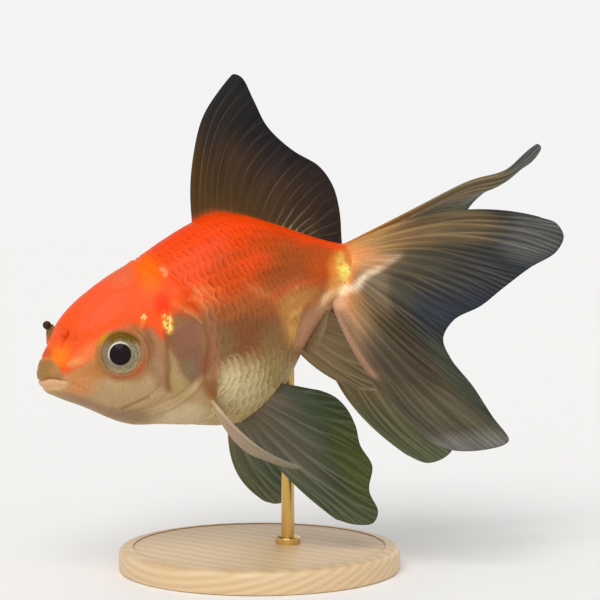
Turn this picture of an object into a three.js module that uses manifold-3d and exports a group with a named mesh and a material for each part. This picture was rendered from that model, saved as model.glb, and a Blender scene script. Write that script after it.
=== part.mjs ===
// A fancy goldfish of the fantail kind as a life-size museum model: an egg-shaped body, a high back fin,
// paired anal fins and a double tail, held head-down on a plain round base by one rod.
// Millimetres, +Z up. The origin is the middle of the base's underside, the snout points to -X,
// and the fish's left side is -Y.
import * as THREE from "three";
import { mergeVertices } from "three/addons/utils/BufferGeometryUtils.js";
import Module from "manifold-3d";

const wasm = await Module();
wasm.setup();

// ---- Driving dimensions ----
const gap = 0.3; // between neighbouring pieces
const pitch = THREE.MathUtils.degToRad(17); // the head hangs lower than the tail
const snoutAt = new THREE.Vector3(-44.2, 0, 40.2); // tip of the snout from the middle of the base
const finRoot = 0.8; // thickness of a fin where it leaves the body
const finEdge = 0.5; // thickness of a fin at its free edge
const widestLevel = 0.46; // height of the widest place, as a share of the body's depth

// The body from snout tip to tail root: distance along the fish, height of back and belly over the
// line from the snout to the middle of the tail stalk, and half the width.
const stations = [
  { x: -0.6, top: -1.1, bottom: -1.3, half: 0 },
  { x: -0.1, top: 1.0, bottom: -3.4, half: 2.1 },
  { x: 1.4, top: 3.1, bottom: -5.0, half: 3.6 },
  { x: 3.6, top: 5.3, bottom: -6.8, half: 5.0 },
  { x: 6.4, top: 8.5, bottom: -9.0, half: 6.5 },
  { x: 10, top: 10.7, bottom: -12.3, half: 8.0 },
  { x: 14, top: 12.4, bottom: -15.1, half: 9.3 },
  { x: 19, top: 14.0, bottom: -16.8, half: 10.6 },
  { x: 25, top: 15.4, bottom: -19.0, half: 12.0 },
  { x: 31, top: 17.2, bottom: -21.2, half: 12.8 },
  { x: 37, top: 18.6, bottom: -22.2, half: 12.8 },
  { x: 42, top: 19.0, bottom: -20.9, half: 12.1 },
  { x: 47, top: 17.4, bottom: -16.8, half: 10.4 },
  { x: 52, top: 14.4, bottom: -12.0, half: 8.2 },
  { x: 57, top: 11.0, bottom: -8.4, half: 5.8 },
  { x: 62, top: 7.6, bottom: -5.5, half: 4.0 },
  { x: 66, top: 5.4, bottom: -4.2, half: 3.0 },
  { x: 69, top: 4.2, bottom: -2.8, half: 1.9 },
  { x: 70, top: 1.2, bottom: 0.8, half: 0 },
];
const bodyAround = 30; // facets round the body
const bodyAlong = 34; // rings from snout to tail

const eye = { x: 14.9, side: 6.6, z: -0.2, radius: 4.7, facets: 15, rings: 9 };

// The cuts that part the body, as smooth lines in the side view: distance along the fish, height.
const lipSlit = [
  [-2, -1.2],
  [1.6, -1.0],
  [3.8, -2.2],
  [7.4, -6.4],
  [9, -16],
];
const gillSlit = [
  [24.6, 22],
  [26.2, 10],
  [28.6, 4],
  [30.2, -1.2],
  [29.2, -6],
  [26.6, -10.6],
  [21.6, -14],
  [17.4, -22],
];
const coverFront = [
  [30, 3.4],
  [26.6, 4.9],
  [23.2, 3.6],
  [22.4, 0],
  [21.3, -5],
  [20.6, -10.3],
  [18.2, -17],
];
const coverInside = 6.8; // distance of a gill cover's inner face from the middle
const coverTop = 2.6; // height up to which the gill slit bounds that inner face
const stalkSlit = [
  [58.6, 14],
  [57.4, 2],
  [57.2, -12],
];
const slitSteps = 3; // straight runs between two points of a cut
const sideways = 40; // farther from the middle than any part of the body
const middlesBefore = { jaw: 8, head: 34, trunk: 60 }; // the pieces' middles lie before these

const base = { radius: 28, thick: 4.5, edge: 1.2, edgeSteps: 2, facets: 42 };
const rod = { x: 6, radius: 1.3, top: 42.6, facets: 16 }; // its top end stands in a socket in the belly

const colour = {
  back: 0xf4561c,
  cheek: 0xc79a6c,
  stalk: 0xf07a30,
  darkFin: 0x3f332a,
  tailFin: 0x5c513c,
  lowFin: 0x46523a,
  paleFin: 0xb09a86,
  eye: 0xc9c6b4,
  flap: 0x3a2c1c,
  beech: 0xd9b88c,
  brass: 0xc9a35a,
};

// ---- Solids ----
function solidOf(geometry) {
  const bare = geometry.clone();
  for (const name of Object.keys(bare.attributes)) {
    if (name !== "position") bare.deleteAttribute(name);
  }
  const merged = mergeVertices(bare, 1e-4);
  return new wasm.Manifold(
    new wasm.Mesh({
      numProp: 3,
      vertProperties: merged.attributes.position.array,
      triVerts: new Uint32Array(merged.index.array),
    }),
  );
}

function geometryOf(solid) {
  const mesh = solid.getMesh();
  const geometry = new THREE.BufferGeometry();
  const positions = new Float32Array(mesh.numVert * 3);
  for (let i = 0; i < mesh.numVert; i++) {
    for (let axis = 0; axis < 3; axis++) {
      positions[3 * i + axis] = mesh.vertProperties[mesh.numProp * i + axis];
    }
  }
  geometry.setAttribute("position", new THREE.BufferAttribute(positions, 3));
  geometry.setIndex(new THREE.BufferAttribute(new Uint32Array(mesh.triVerts), 1));
  return geometry;
}

// Moves every vertex of a geometry to the place that a function gives for it.
function reshape(geometry, place) {
  const position = geometry.attributes.position;
  const from = new THREE.Vector3();
  for (let i = 0; i < position.count; i++) {
    const to = place(from.fromBufferAttribute(position, i));
    position.setXYZ(i, to.x, to.y, to.z);
  }
  return geometry;
}

// ---- The body ----
// A smooth value between the stations, t from 0 at the snout to 1 at the tail root.
function station(t, key) {
  const last = stations.length - 1;
  const i = Math.min(Math.floor(t * last), last - 1);
  const f = t * last - i;
  const at = (k) => stations[THREE.MathUtils.clamp(k, 0, last)][key];
  const [a, b, c, d] = [at(i - 1), at(i), at(i + 1), at(i + 2)];
  return b + 0.5 * f * (c - a + f * (2 * a - 5 * b + 4 * c - d + f * (3 * (b - c) + d - a)));
}

// The whole body as one closed shape, grown outwards by a margin.
function bodySolid(margin = 0) {
  const sphere = new THREE.SphereGeometry(1, bodyAround, bodyAlong);
  const length = stations.at(-1).x - stations[0].x;
  const stretch = 1 + (2 * margin) / length;
  return solidOf(
    reshape(sphere, (p) => {
      const t = Math.acos(THREE.MathUtils.clamp(p.y, -1, 1)) / Math.PI;
      const round = Math.hypot(p.x, p.z);
      const [across, upward] = round > 1e-6 ? [p.x / round, p.z / round] : [0, 1];
      const pole = t < 1e-6 || t > 1 - 1e-6;
      const grow = pole ? 0 : margin;
      const top = station(t, "top") + grow;
      const bottom = station(t, "bottom") - grow;
      const widest = bottom + widestLevel * (top - bottom);
      const rise = pole ? 0 : upward > 0 ? (top - widest) * upward : (widest - bottom) * upward;
      return new THREE.Vector3(
        (station(t, "x") - length / 2) * stretch + length / 2,
        (station(t, "half") + grow) * (pole ? 0 : across),
        widest + rise,
      );
    }),
  );
}

const sideCurve = (line) => new THREE.CatmullRomCurve3(line.map(([x, z]) => new THREE.Vector3(x, z, 0)));
const pointsOf = (line) => sideCurve(line).getPoints(slitSteps * (line.length - 1));

// A flat plate with an outline in the side view, between two distances to the side.
function plate(outline, fromY, toY) {
  const shape = new THREE.Shape(outline);
  const slab = new THREE.ExtrudeGeometry(shape, { depth: toY - fromY, bevelEnabled: false });
  slab.rotateX(Math.PI / 2).translate(0, toY, 0);
  return solidOf(slab);
}

// A thin upright wall along a line in the side view, between two distances to the side.
function wall(line, fromY, toY) {
  const curve = sideCurve(line);
  const points = pointsOf(line);
  const sides = [1, -1].map((side) =>
    points.map((p, i) => {
      const along = curve.getTangent(i / (points.length - 1));
      return new THREE.Vector2(p.x - (side * along.y * gap) / 2, p.y + (side * along.x * gap) / 2);
    }),
  );
  return plate([...sides[0], ...sides[1].reverse()], fromY, toY);
}

// The flat inner cut behind a gill cover, which stays within the cover's outline.
function coverFloor(side) {
  const back = pointsOf(gillSlit).filter((p) => p.y < coverTop);
  const outline = [...pointsOf(coverFront), ...back.reverse()].map((p) => new THREE.Vector2(p.x, p.y));
  return plate(outline, side * coverInside - gap / 2, side * coverInside + gap / 2);
}

function centreOf(solid) {
  const { min, max } = solid.boundingBox();
  return new THREE.Vector3(...min).add(new THREE.Vector3(...max)).divideScalar(2);
}

// The body parted into its named pieces by thin cuts.
function bodyPieces() {
  let body = bodySolid();
  for (const slit of [gillSlit, stalkSlit, lipSlit]) {
    body = body.subtract(wall(slit, -sideways, sideways));
  }
  for (const side of [-1, 1]) {
    const [from, to] = side < 0 ? [-sideways, -coverInside] : [coverInside, sideways];
    body = body.subtract(wall(coverFront, from, to));
    body = body.subtract(coverFloor(side));
    const socket = new THREE.SphereGeometry(eye.radius + gap, eye.facets, eye.rings);
    socket.translate(eye.x, side * eye.side, eye.z);
    body = body.subtract(solidOf(socket));
  }
  const largestFirst = body.decompose().sort((a, b) => b.volume() - a.volume());
  const named = {};
  for (const piece of largestFirst) {
    const at = centreOf(piece);
    if (at.x > middlesBefore.trunk) named.tail_stalk ??= piece;
    else if (at.x > middlesBefore.head) named.trunk ??= piece;
    else if (at.x < middlesBefore.jaw) named.lower_jaw ??= piece;
    else if (at.y < -coverInside) named.gill_cover_left ??= piece;
    else if (at.y > coverInside) named.gill_cover_right ??= piece;
    else named.head ??= piece;
  }
  return named;
}

// ---- Fins ----
const curveOf = (points) =>
  new THREE.CatmullRomCurve3(
    points.map((p) => new THREE.Vector3(...p)),
    false,
    "centripetal",
  );

// A fin's middle surface: rays run from a point u along the root to a point u along the free edge,
// and bulge between them by the bow, which changes from the first ray to the last.
// A pinch narrows the first rays at one place along their length.
function finSurface({ root, edge, bow, pinch }) {
  const rootCurve = curveOf(root);
  const edgeCurve = curveOf(edge);
  const bowCurve = curveOf(bow);
  return (u, v) => {
    const place = rootCurve
      .getPoint(u)
      .lerp(edgeCurve.getPointAt(u), v)
      .addScaledVector(bowCurve.getPoint(u), 4 * v * (1 - v));
    if (!pinch) return place;
    const near = Math.exp(-(((v - pinch.at) / pinch.spread) ** 2) - (u / pinch.share) ** 2);
    return place.addScaledVector(new THREE.Vector3(...pinch.by), near);
  };
}

// A closed sheet on that surface, between two shares of the free edge. A split leaves half a gap.
function finSolid(fin, { from = 0, to = 1, across = 10, along = 8 } = {}) {
  const surface = finSurface(fin);
  const step = 1e-3;
  const slope = (u, v) => {
    const [a, b] = [Math.max(u - step, 0), Math.min(u + step, 1)];
    return surface(b, v).sub(surface(a, v)).divideScalar(b - a);
  };
  const sheet = new THREE.BoxGeometry(1, 1, 1, across, along, 1);
  reshape(sheet, (p) => {
    const v = p.y + 0.5;
    const start = from > 0 ? from + gap / 2 / slope(from, v).length() : 0;
    const end = to < 1 ? to - gap / 2 / slope(to, v).length() : 1;
    const u = THREE.MathUtils.lerp(start, end, p.x + 0.5);
    const [low, high] = [Math.max(v - step, 0), Math.min(v + step, 1)];
    const outward = surface(u, high).sub(surface(u, low));
    const normal = slope(u, v).cross(outward).normalize();
    return surface(u, v).addScaledVector(normal, p.z * THREE.MathUtils.lerp(finRoot, finEdge, v));
  });
  return solidOf(sheet);
}

const dorsal = {
  root: [[37.4, 0, 18], [42.5, 0, 18.4], [48, 0, 16.2], [54, 0, 12.6], [60, 0, 8.8], [65.4, 0, 5]],
  edge: [
    [52.7, 0.6, 43.2], [54.3, 0.6, 43.9], [55.8, 0.6, 42.8], [56.9, 0.5, 37.9], [58.1, 0.3, 32],
    [61.5, 0, 26.3], [65.9, -0.3, 21.5], [67.6, -0.4, 16.6], [67.8, -0.3, 11.3], [67.2, 0, 7],
  ],
  bow: [[-2.7, 0.5, 1.7], [-2.9, 0.4, 1.4], [-1.6, 0.2, 0.6], [0.6, 0, 0.4]],
};

const tailLeft = {
  root: [[65.5, -0.9, 4.6], [65.5, -1.8, 2], [63.5, -2, -1], [60, -1.4, -3.4]],
  edge: [
    [104, -12.5, -0.4], [106.8, -13.5, -2.8], [107.4, -14, -5.8], [104.8, -14.5, -8.1], [97.8, -15.5, -9.2],
    [90.8, -16.5, -11.1], [84.3, -17, -13.1], [78.2, -17, -13.8], [74.7, -17.5, -16.5], [74.7, -18.5, -21],
    [77.1, -20, -27], [78.8, -21, -33], [80.5, -22, -39], [79.3, -22, -39.7], [74.5, -21.5, -39.2],
    [70, -20.5, -37.8], [66, -19.5, -35.1],
  ],
  bow: [[1.5, 1.2, 3.6], [0.5, 0, 2], [-1, -1, 0], [-3.6, -1.6, 0.4]],
};

const tailRight = {
  root: [[65.5, 0.9, 4.6], [65.5, 1.8, 2], [63.5, 2, -1], [60, 1.4, -3.4]],
  edge: [
    [112.6, 2, 11.5], [115.3, 3, 12], [116.3, 3.6, 10.8], [114, 5, 8.3], [110, 7.5, 6.8], [105.6, 10, 5],
    [101, 13, 2.2], [96, 15.5, -4.5], [91, 17.2, -12], [88, 18, -18], [87.6, 18.6, -26],
    [88, 19, -36.4], [86.4, 18.6, -43.6], [84, 18, -48], [78.4, 17, -48.5], [73.2, 16, -44.6],
  ],
  bow: [[0.2, 0, -0.3], [0, 2.4, 0.8], [0, 4, 0.4], [-5.2, 4.2, 0.1]],
  pinch: { at: 0.82, spread: 0.12, share: 0.3, by: [0.5, 0, -1.8] },
};
const tailFork = 0.47; // where the two lobes of a tail half part, as a share of its free edge

const pelvicLeft = {
  root: [[34.4, -3, -20], [36.6, -5, -18.6], [39.8, -6.2, -17.2], [43, -5.8, -15.8]],
  edge: [
    [45, -12, -44.5], [48, -13, -46.4], [51.4, -13.7, -47.2], [53, -14, -45.4], [52.8, -13.5, -41],
    [54.8, -13.5, -36.6], [53.5, -13, -31.7], [53.8, -12.5, -28], [53.6, -11.5, -24.2], [52.6, -10, -21.3],
    [50.6, -8.5, -19.6], [47.6, -7, -18.8],
  ],
  bow: [[-1.3, -0.6, -0.7], [0, -1.6, 0], [0, -1.4, 0.2]],
};

const pelvicRight = {
  root: [[34.4, 3, -20.4], [36.6, 5, -19], [39.8, 6.2, -17.6], [43, 5.8, -16.2]],
  edge: [
    [39.5, 15, -42.5], [42, 16, -44.5], [45.5, 17, -44.5], [47.5, 17.5, -42.5], [49, 17.5, -38.5],
    [50.5, 17, -34.5], [51.5, 16, -30.5], [50.5, 14, -26], [47.5, 10, -21],
  ],
  bow: [[-2.6, 1.6, -1.4], [0, 1.6, 0], [0, 1.4, 0.4]],
};

const pectoralLeft = {
  root: [[28, -8.6, -12.4], [28.6, -8, -14], [29.2, -7, -15.6]],
  edge: [
    [37.6, -20, -29], [39, -18.6, -30.5], [39.2, -16.8, -31.1], [38.3, -14.6, -30.6], [36, -12.4, -28.8],
  ],
  bow: [[-1.3, -1, -1.7], [-1.5, -0.6, -2], [-1.7, -0.4, -2.2]],
};

const pectoralRight = {
  root: [[27.4, 8.4, -13.4], [28, 7.8, -14.8], [28.4, 7, -16.2]],
  edge: [[37, 22.5, -12.8], [40.6, 22.6, -14], [43, 21, -15.6], [43.4, 18.6, -17.4], [42, 16.4, -18.8]],
  bow: [[-1, 0.6, 1.4], [-0.6, 0.6, 1.2], [0, 0.8, 1]],
};

const analLeft = {
  root: [[50.6, -1.4, -11.2], [54.4, -1.6, -8.4], [57.8, -1.6, -5.8]],
  edge: [
    [51.6, -4.2, -13.2], [53.6, -5, -12.2], [55.6, -4.8, -10.2], [57.2, -4.2, -8], [58.4, -3.2, -6.2],
  ],
  bow: [[0, -0.5, 0], [0, -0.6, 0], [0, -0.4, 0]],
};

const analRight = {
  root: [[50.6, 1.4, -11.2], [54.4, 1.6, -8.4], [57.8, 1.6, -5.8]],
  edge: [
    [62.4, 6.6, -25], [67, 7.2, -27], [70.4, 7, -26], [71.6, 6, -21.5], [69.6, 4.4, -15], [64.4, 2.8, -9.6],
  ],
  bow: [[-0.6, 0.8, -0.8], [0, 0.4, 0], [0, 0, 0]],
};

// The raised flap between the two openings of a nostril: a small leaf with a swollen tip.
const flapRight = {
  root: [[4, 3, 3.2], [5.2, 3.5, 4.8], [6.4, 3.8, 6]],
  edge: [[3.9, 4.6, 4.6], [4.9, 5.2, 7.3], [6.2, 5, 7.7]],
  bow: [[0, 0.2, 0], [0, 0.2, 0], [0, 0.2, 0]],
};
const flapTip = { at: [5.1, 5.4, 7.8], radius: 0.75, facets: 8, rings: 6 };
const flapMesh = { across: 4, along: 3 };
const flapFold = { x: 0.8, y: -0.9, z: -1.1 }; // the left flap lies flatter than the right one

// The same leaf on the left side, with its free end shifted.
const onLeft = ([x, y, z], shift) => [x + shift.x, -(y + shift.y), z + shift.z];
const still = { x: 0, y: 0, z: 0 };
const flapLeft = {
  root: flapRight.root.map((p) => onLeft(p, still)),
  edge: flapRight.edge.map((p) => onLeft(p, flapFold)),
  bow: flapRight.bow.map((p) => onLeft(p, still)),
};

function flapSolid(flap, tip) {
  const knob = new THREE.SphereGeometry(flapTip.radius, flapTip.facets, flapTip.rings);
  return finSolid(flap, flapMesh).add(solidOf(knob.translate(...tip)));
}

// ---- The stand ----
function baseGeometry() {
  const { radius, thick, edge, edgeSteps, facets } = base;
  const profile = [[0, 0], [radius - edge / 2, 0], [radius, edge / 2]];
  for (let i = 0; i <= edgeSteps; i++) {
    const turn = (i / edgeSteps) * (Math.PI / 2);
    profile.push([radius - edge + edge * Math.cos(turn), thick - edge + edge * Math.sin(turn)]);
  }
  profile.push([0, thick]);
  const points = profile.map(([x, y]) => new THREE.Vector2(x, y));
  return new THREE.LatheGeometry(points, facets).rotateX(Math.PI / 2);
}

// ---- The scene graph ----
const goldfish = new THREE.Group();
const fish = new THREE.Group();
fish.position.copy(snoutAt);
fish.rotation.y = -pitch;
goldfish.add(fish);

function add(parent, name, geometry, color, roughness = 0.45, metalness = 0) {
  const material = new THREE.MeshStandardMaterial({ color, roughness, metalness });
  const mesh = new THREE.Mesh(geometry, material);
  mesh.name = name;
  parent.add(mesh);
  return mesh;
}

const pieces = bodyPieces();
const grown = bodySolid(gap);

// The rod stands upright, so its socket is turned into the tilted fish's own frame.
fish.updateMatrixWorld(true);
const toFish = fish.matrixWorld.clone().invert();
const socketLength = rod.top + gap - base.thick;
const socket = new THREE.CylinderGeometry(rod.radius + gap, rod.radius + gap, socketLength, rod.facets)
  .rotateX(Math.PI / 2)
  .translate(rod.x, 0, base.thick + socketLength / 2)
  .applyMatrix4(toFish);
pieces.trunk = pieces.trunk.subtract(solidOf(socket));

const bodyColours = {
  head: colour.back,
  lower_jaw: colour.cheek,
  gill_cover_left: colour.cheek,
  gill_cover_right: colour.cheek,
  trunk: colour.back,
  tail_stalk: colour.stalk,
};
for (const [name, color] of Object.entries(bodyColours)) {
  add(fish, name, geometryOf(pieces[name]), color);
}

for (const [name, side] of [["eye_left", -1], ["eye_right", 1]]) {
  const ball = new THREE.SphereGeometry(eye.radius, eye.facets, eye.rings);
  add(fish, name, ball, colour.eye, 0.1).position.set(eye.x, side * eye.side, eye.z);
}

const lobes = { across: 10, along: 7 };
const fins = {
  dorsal_fin: [dorsal, { across: 18, along: 8 }, colour.darkFin],
  pectoral_fin_left: [pectoralLeft, { across: 6, along: 6 }, colour.paleFin],
  pectoral_fin_right: [pectoralRight, { across: 6, along: 6 }, colour.lowFin],
  pelvic_fin_left: [pelvicLeft, { across: 14, along: 6 }, colour.lowFin],
  pelvic_fin_right: [pelvicRight, { across: 12, along: 6 }, colour.lowFin],
  anal_fin_left: [analLeft, { across: 7, along: 5 }, colour.paleFin],
  anal_fin_right: [analRight, { across: 8, along: 6 }, colour.tailFin],
  tail_fin_left_upper: [tailLeft, { ...lobes, to: tailFork }, colour.tailFin],
  tail_fin_left_lower: [tailLeft, { ...lobes, from: tailFork }, colour.tailFin],
  tail_fin_right_upper: [tailRight, { ...lobes, to: tailFork }, colour.tailFin],
  tail_fin_right_lower: [tailRight, { ...lobes, from: tailFork }, colour.tailFin],
};

// The part of a fin or flap that stands clear of the body.
function clearOfBody(solid) {
  const [largest] = solid
    .subtract(grown)
    .decompose()
    .sort((a, b) => b.volume() - a.volume());
  return geometryOf(largest);
}
for (const [name, [fin, mesh, color]] of Object.entries(fins)) {
  add(fish, name, clearOfBody(finSolid(fin, mesh)), color, 0.6);
}
add(fish, "nostril_flap_right", clearOfBody(flapSolid(flapRight, flapTip.at)), colour.flap);
add(fish, "nostril_flap_left", clearOfBody(flapSolid(flapLeft, onLeft(flapTip.at, flapFold))), colour.flap);

add(goldfish, "stand_base", baseGeometry(), colour.beech, 0.5);
const rodFoot = base.thick + gap;
const rodGeometry = new THREE.CylinderGeometry(rod.radius, rod.radius, rod.top - rodFoot, rod.facets);
rodGeometry.rotateX(Math.PI / 2);
const rodMesh = add(goldfish, "stand_rod", rodGeometry, colour.brass, 0.3, 1);
rodMesh.position.set(rod.x, 0, (rodFoot + rod.top) / 2);

export default goldfish;
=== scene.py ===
import math
import bmesh
import bpy
import numpy as np
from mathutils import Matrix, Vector


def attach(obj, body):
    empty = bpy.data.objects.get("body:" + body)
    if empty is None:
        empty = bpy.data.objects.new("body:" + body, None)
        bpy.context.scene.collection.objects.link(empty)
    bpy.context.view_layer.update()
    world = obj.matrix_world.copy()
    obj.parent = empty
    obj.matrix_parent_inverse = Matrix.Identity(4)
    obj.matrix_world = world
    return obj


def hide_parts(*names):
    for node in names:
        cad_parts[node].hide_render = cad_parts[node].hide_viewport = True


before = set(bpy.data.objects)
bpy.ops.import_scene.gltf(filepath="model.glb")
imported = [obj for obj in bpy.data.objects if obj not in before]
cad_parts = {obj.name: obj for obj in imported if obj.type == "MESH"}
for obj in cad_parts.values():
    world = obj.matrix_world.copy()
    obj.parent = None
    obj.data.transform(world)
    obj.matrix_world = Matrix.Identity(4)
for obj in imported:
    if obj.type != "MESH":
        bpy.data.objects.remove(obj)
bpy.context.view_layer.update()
print("frame loaded:", len(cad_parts), "nodes")

# A fancy goldfish of the fantail kind, life size, on a round foot with one rod.
# Sizes are millimetres in the fish's own frame: x from snout to tail, z up its back, left side -y.
mm = 0.001
pose = {"snout": (-44.2, 0.0, 40.2), "pitch": 17.0}  # snout tip over the foot's middle, head-down degrees


def toModel(points):  # from the fish's own frame in millimetres to the model's in metres
    turn = math.radians(pose["pitch"])
    x, y, z = np.moveaxis(np.asarray(points, float), -1, 0)
    along = x * math.cos(turn) - z * math.sin(turn)
    upward = x * math.sin(turn) + z * math.cos(turn)
    return (np.stack([along, y, upward], -1) + pose["snout"]) * mm


def linear(hexColour):  # an sRGB hex value as linear red, green and blue
    parts = np.array([int(hexColour[i:i + 2], 16) / 255 for i in (1, 3, 5)])
    return np.where(parts <= 0.04045, parts / 12.92, ((parts + 0.055) / 1.055) ** 2.4)


def laid(under, tone, weight):  # a colour, hex or linear, laid over others by weight
    over = linear(tone) if isinstance(tone, str) else tone
    return under + (over - under) * np.reshape(weight, (-1, 1))


def bell(value):  # 1 at zero, falling softly to 0 on both sides
    return np.exp(-(value ** 2))


def eased(value):  # 0 to 1 with a soft start and end
    value = np.clip(value, 0, 1)
    return value * value * (3 - 2 * value)


def easedThrough(value, stops):  # a soft curve through (place, height) stops
    places, heights = np.array(stops, float).T
    i = np.clip(np.searchsorted(places, value) - 1, 0, len(places) - 2)
    share = eased((value - places[i]) / (places[i + 1] - places[i]))
    return heights[i] + (heights[i + 1] - heights[i]) * share


def straightThrough(value, stops):
    return np.interp(value, *zip(*stops))


def smoothBetween(a, b, c, d, f):  # the smooth curve from b to c, on its way from a to d
    return b + 0.5 * f * (c - a + f * (2 * a - 5 * b + 4 * c - d + f * (3 * (b - c) + d - a)))


def lattice(x, y, seed, size=64):  # smooth seeded noise from -1 to 1, one bump for each unit of x and y
    table = np.random.default_rng(seed).uniform(-1, 1, (size, size))
    i, j = np.floor(x).astype(int), np.floor(y).astype(int)
    f, g = eased(x - i), eased(y - j)
    near, far = (
        table[i % size, (j + k) % size] * (1 - f) + table[(i + 1) % size, (j + k) % size] * f for k in (0, 1)
    )
    return near * (1 - g) + far * g


# Meshes
def readVertices(piece, value="co"):
    numbers = np.empty(len(piece.data.vertices) * 3)
    piece.data.vertices.foreach_get(value, numbers)
    return numbers.reshape(-1, 3)


def movePoints(piece, points):
    piece.data.vertices.foreach_set("co", np.asarray(points, float).ravel())
    piece.data.update()


def addMap(piece, name, places):  # a UV map, from one place for each vertex
    corners = np.empty(len(piece.data.loops), int)
    piece.data.loops.foreach_get("vertex_index", corners)
    piece.data.uv_layers.new(name=name).data.foreach_set("uv", places[corners].ravel())


def setPaint(piece, colours, contrast=1.0):  # alpha holds how strongly the pattern over it shows
    values = np.ones((len(colours), 4))
    values[:, :3] = np.clip(colours, 0, 1)
    values[:, 3] = contrast
    piece.data.attributes.new("Paint", "FLOAT_COLOR", "POINT").data.foreach_set("color", values.ravel())


def added(name, operator, **settings):  # a primitive, with nothing else selected
    bpy.ops.object.select_all(action="DESELECT")
    operator(**settings)
    piece = bpy.context.object
    piece.name = name
    piece.data.name = name
    return piece


def flatSheet(name, across, along):  # from -1 to 1 both ways and one unit thick, to be bent to shape
    sheet = added(name, bpy.ops.mesh.primitive_grid_add, x_subdivisions=across, y_subdivisions=along, size=2)
    modified(sheet, "SOLIDIFY", thickness=1, offset=0)
    return sheet


def addBall(name, segments, rings, radius=1.0, location=(0, 0, 0)):
    return added(
        name, bpy.ops.mesh.primitive_uv_sphere_add, segments=segments, ring_count=rings, radius=radius,
        location=location,
    )


def modified(piece, kind, **settings):
    modifier = piece.modifiers.new(kind.lower(), kind)
    for key, value in settings.items():
        setattr(modifier, key, value)


def selectOnly(*pieces):  # the last of them is active
    bpy.ops.object.select_all(action="DESELECT")
    for piece in pieces:
        piece.select_set(True)
    bpy.context.view_layer.objects.active = pieces[-1]


def finished(piece):  # applies every modifier and the object's own place
    selectOnly(piece)
    for modifier in list(piece.modifiers):
        bpy.ops.object.modifier_apply(modifier=modifier.name)
    bpy.ops.object.transform_apply(location=True, rotation=True, scale=True)
    return piece


def handIn(piece, material, slot, *nodes):
    piece.data.materials.clear()
    piece.data.materials.append(material)
    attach(piece, "root")
    if nodes:
        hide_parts(*nodes)


# Materials. Each node is its kind, its settings and what its inputs read: "plate.UV" is the output UV of the
# node plate, and "cells" alone is the first output of cells. The nodes named tone, gloss and grain reach the
# shader as its colour, roughness and normal.
def addNode(tree, kind, settings, links):
    node = tree.nodes.new("ShaderNode" + kind)
    for key, value in settings.items():
        if isinstance(key, int) or key in node.inputs:
            node.inputs[key].default_value = value
        elif key == "ramp":  # two ends, as place and colour
            for end, (place, tone) in zip(node.color_ramp.elements, value):
                end.position = place
                end.color = (*linear(tone), 1)
        else:
            setattr(node, key, value)
    for key, source in links.items():
        tree.links.new(source, node.inputs[key])
    return node


def growTree(tree, end, nodes, ends):
    made = {}

    def output(source):
        name, _, socket = source.partition(".")
        return made[name].outputs[socket or 0]

    for name, (kind, settings, links) in nodes.items():
        made[name] = addNode(tree, kind, settings, {key: output(source) for key, source in links.items()})
    for key, name in ends.items():
        if name in made:
            tree.links.new(output(name), end.inputs[key])


def makeMaterial(name, settings, nodes):
    material = bpy.data.materials.new(name)
    material.use_nodes = True
    shader = material.node_tree.nodes["Principled BSDF"]
    for key, value in settings.items():
        shader.inputs[key].default_value = value
    growTree(
        material.node_tree, shader, {"place": ("TexCoord", {}, {}), **nodes},
        {"Base Color": "tone", "Roughness": "gloss", "Normal": "grain"},
    )
    return material


onObject = {"Vector": "place.Object"}
midNoise = {"From Min": 0.3, "From Max": 0.7}  # the range that a noise mostly keeps to
paint = {"paint": ("Attribute", {"attribute_name": "Paint"}, {})}
paintedTone = {"tone": ("VectorMath", {"operation": "SCALE"}, {"Vector": "paint", "Scale": "shade"})}
materials = {}

# Living fish skin under a thin film of slime: soft pigment cells of about 0.4 mm mottle the colour, and
# folds of 1.6 mm and pores of 0.16 mm break up the wet shine.
materials["skin"] = makeMaterial(
    "wetFishSkin",
    {"Coat Weight": 0.05, "Coat Roughness": 0.2, "IOR": 1.4, "Specular IOR Level": 0.1},
    {
        "cells": ("TexNoise", {"Scale": 1 / (0.4 * mm), "Detail": 4.0, "Roughness": 0.6}, onObject),
        "folds": ("TexNoise", {"Scale": 1 / (1.6 * mm), "Detail": 3.0}, onObject),
        "pores": ("TexNoise", {"Scale": 1 / (0.16 * mm), "Detail": 2.0}, onObject),
        "shade": ("MapRange", {**midNoise, "To Min": 0.84, "To Max": 1.08}, {"Value": "cells"}),
        **paint, **paintedTone,
        "gloss": ("MapRange", {**midNoise, "To Min": 0.34, "To Max": 0.52}, {"Value": "folds"}),
        "folded": ("Bump", {"Strength": 0.5, "Distance": 0.12 * mm}, {"Height": "folds"}),
        "grain": ("Bump", {"Strength": 0.35, "Distance": 0.03 * mm}, {"Height": "pores", "Normal": "folded"}),
    },
)

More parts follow.
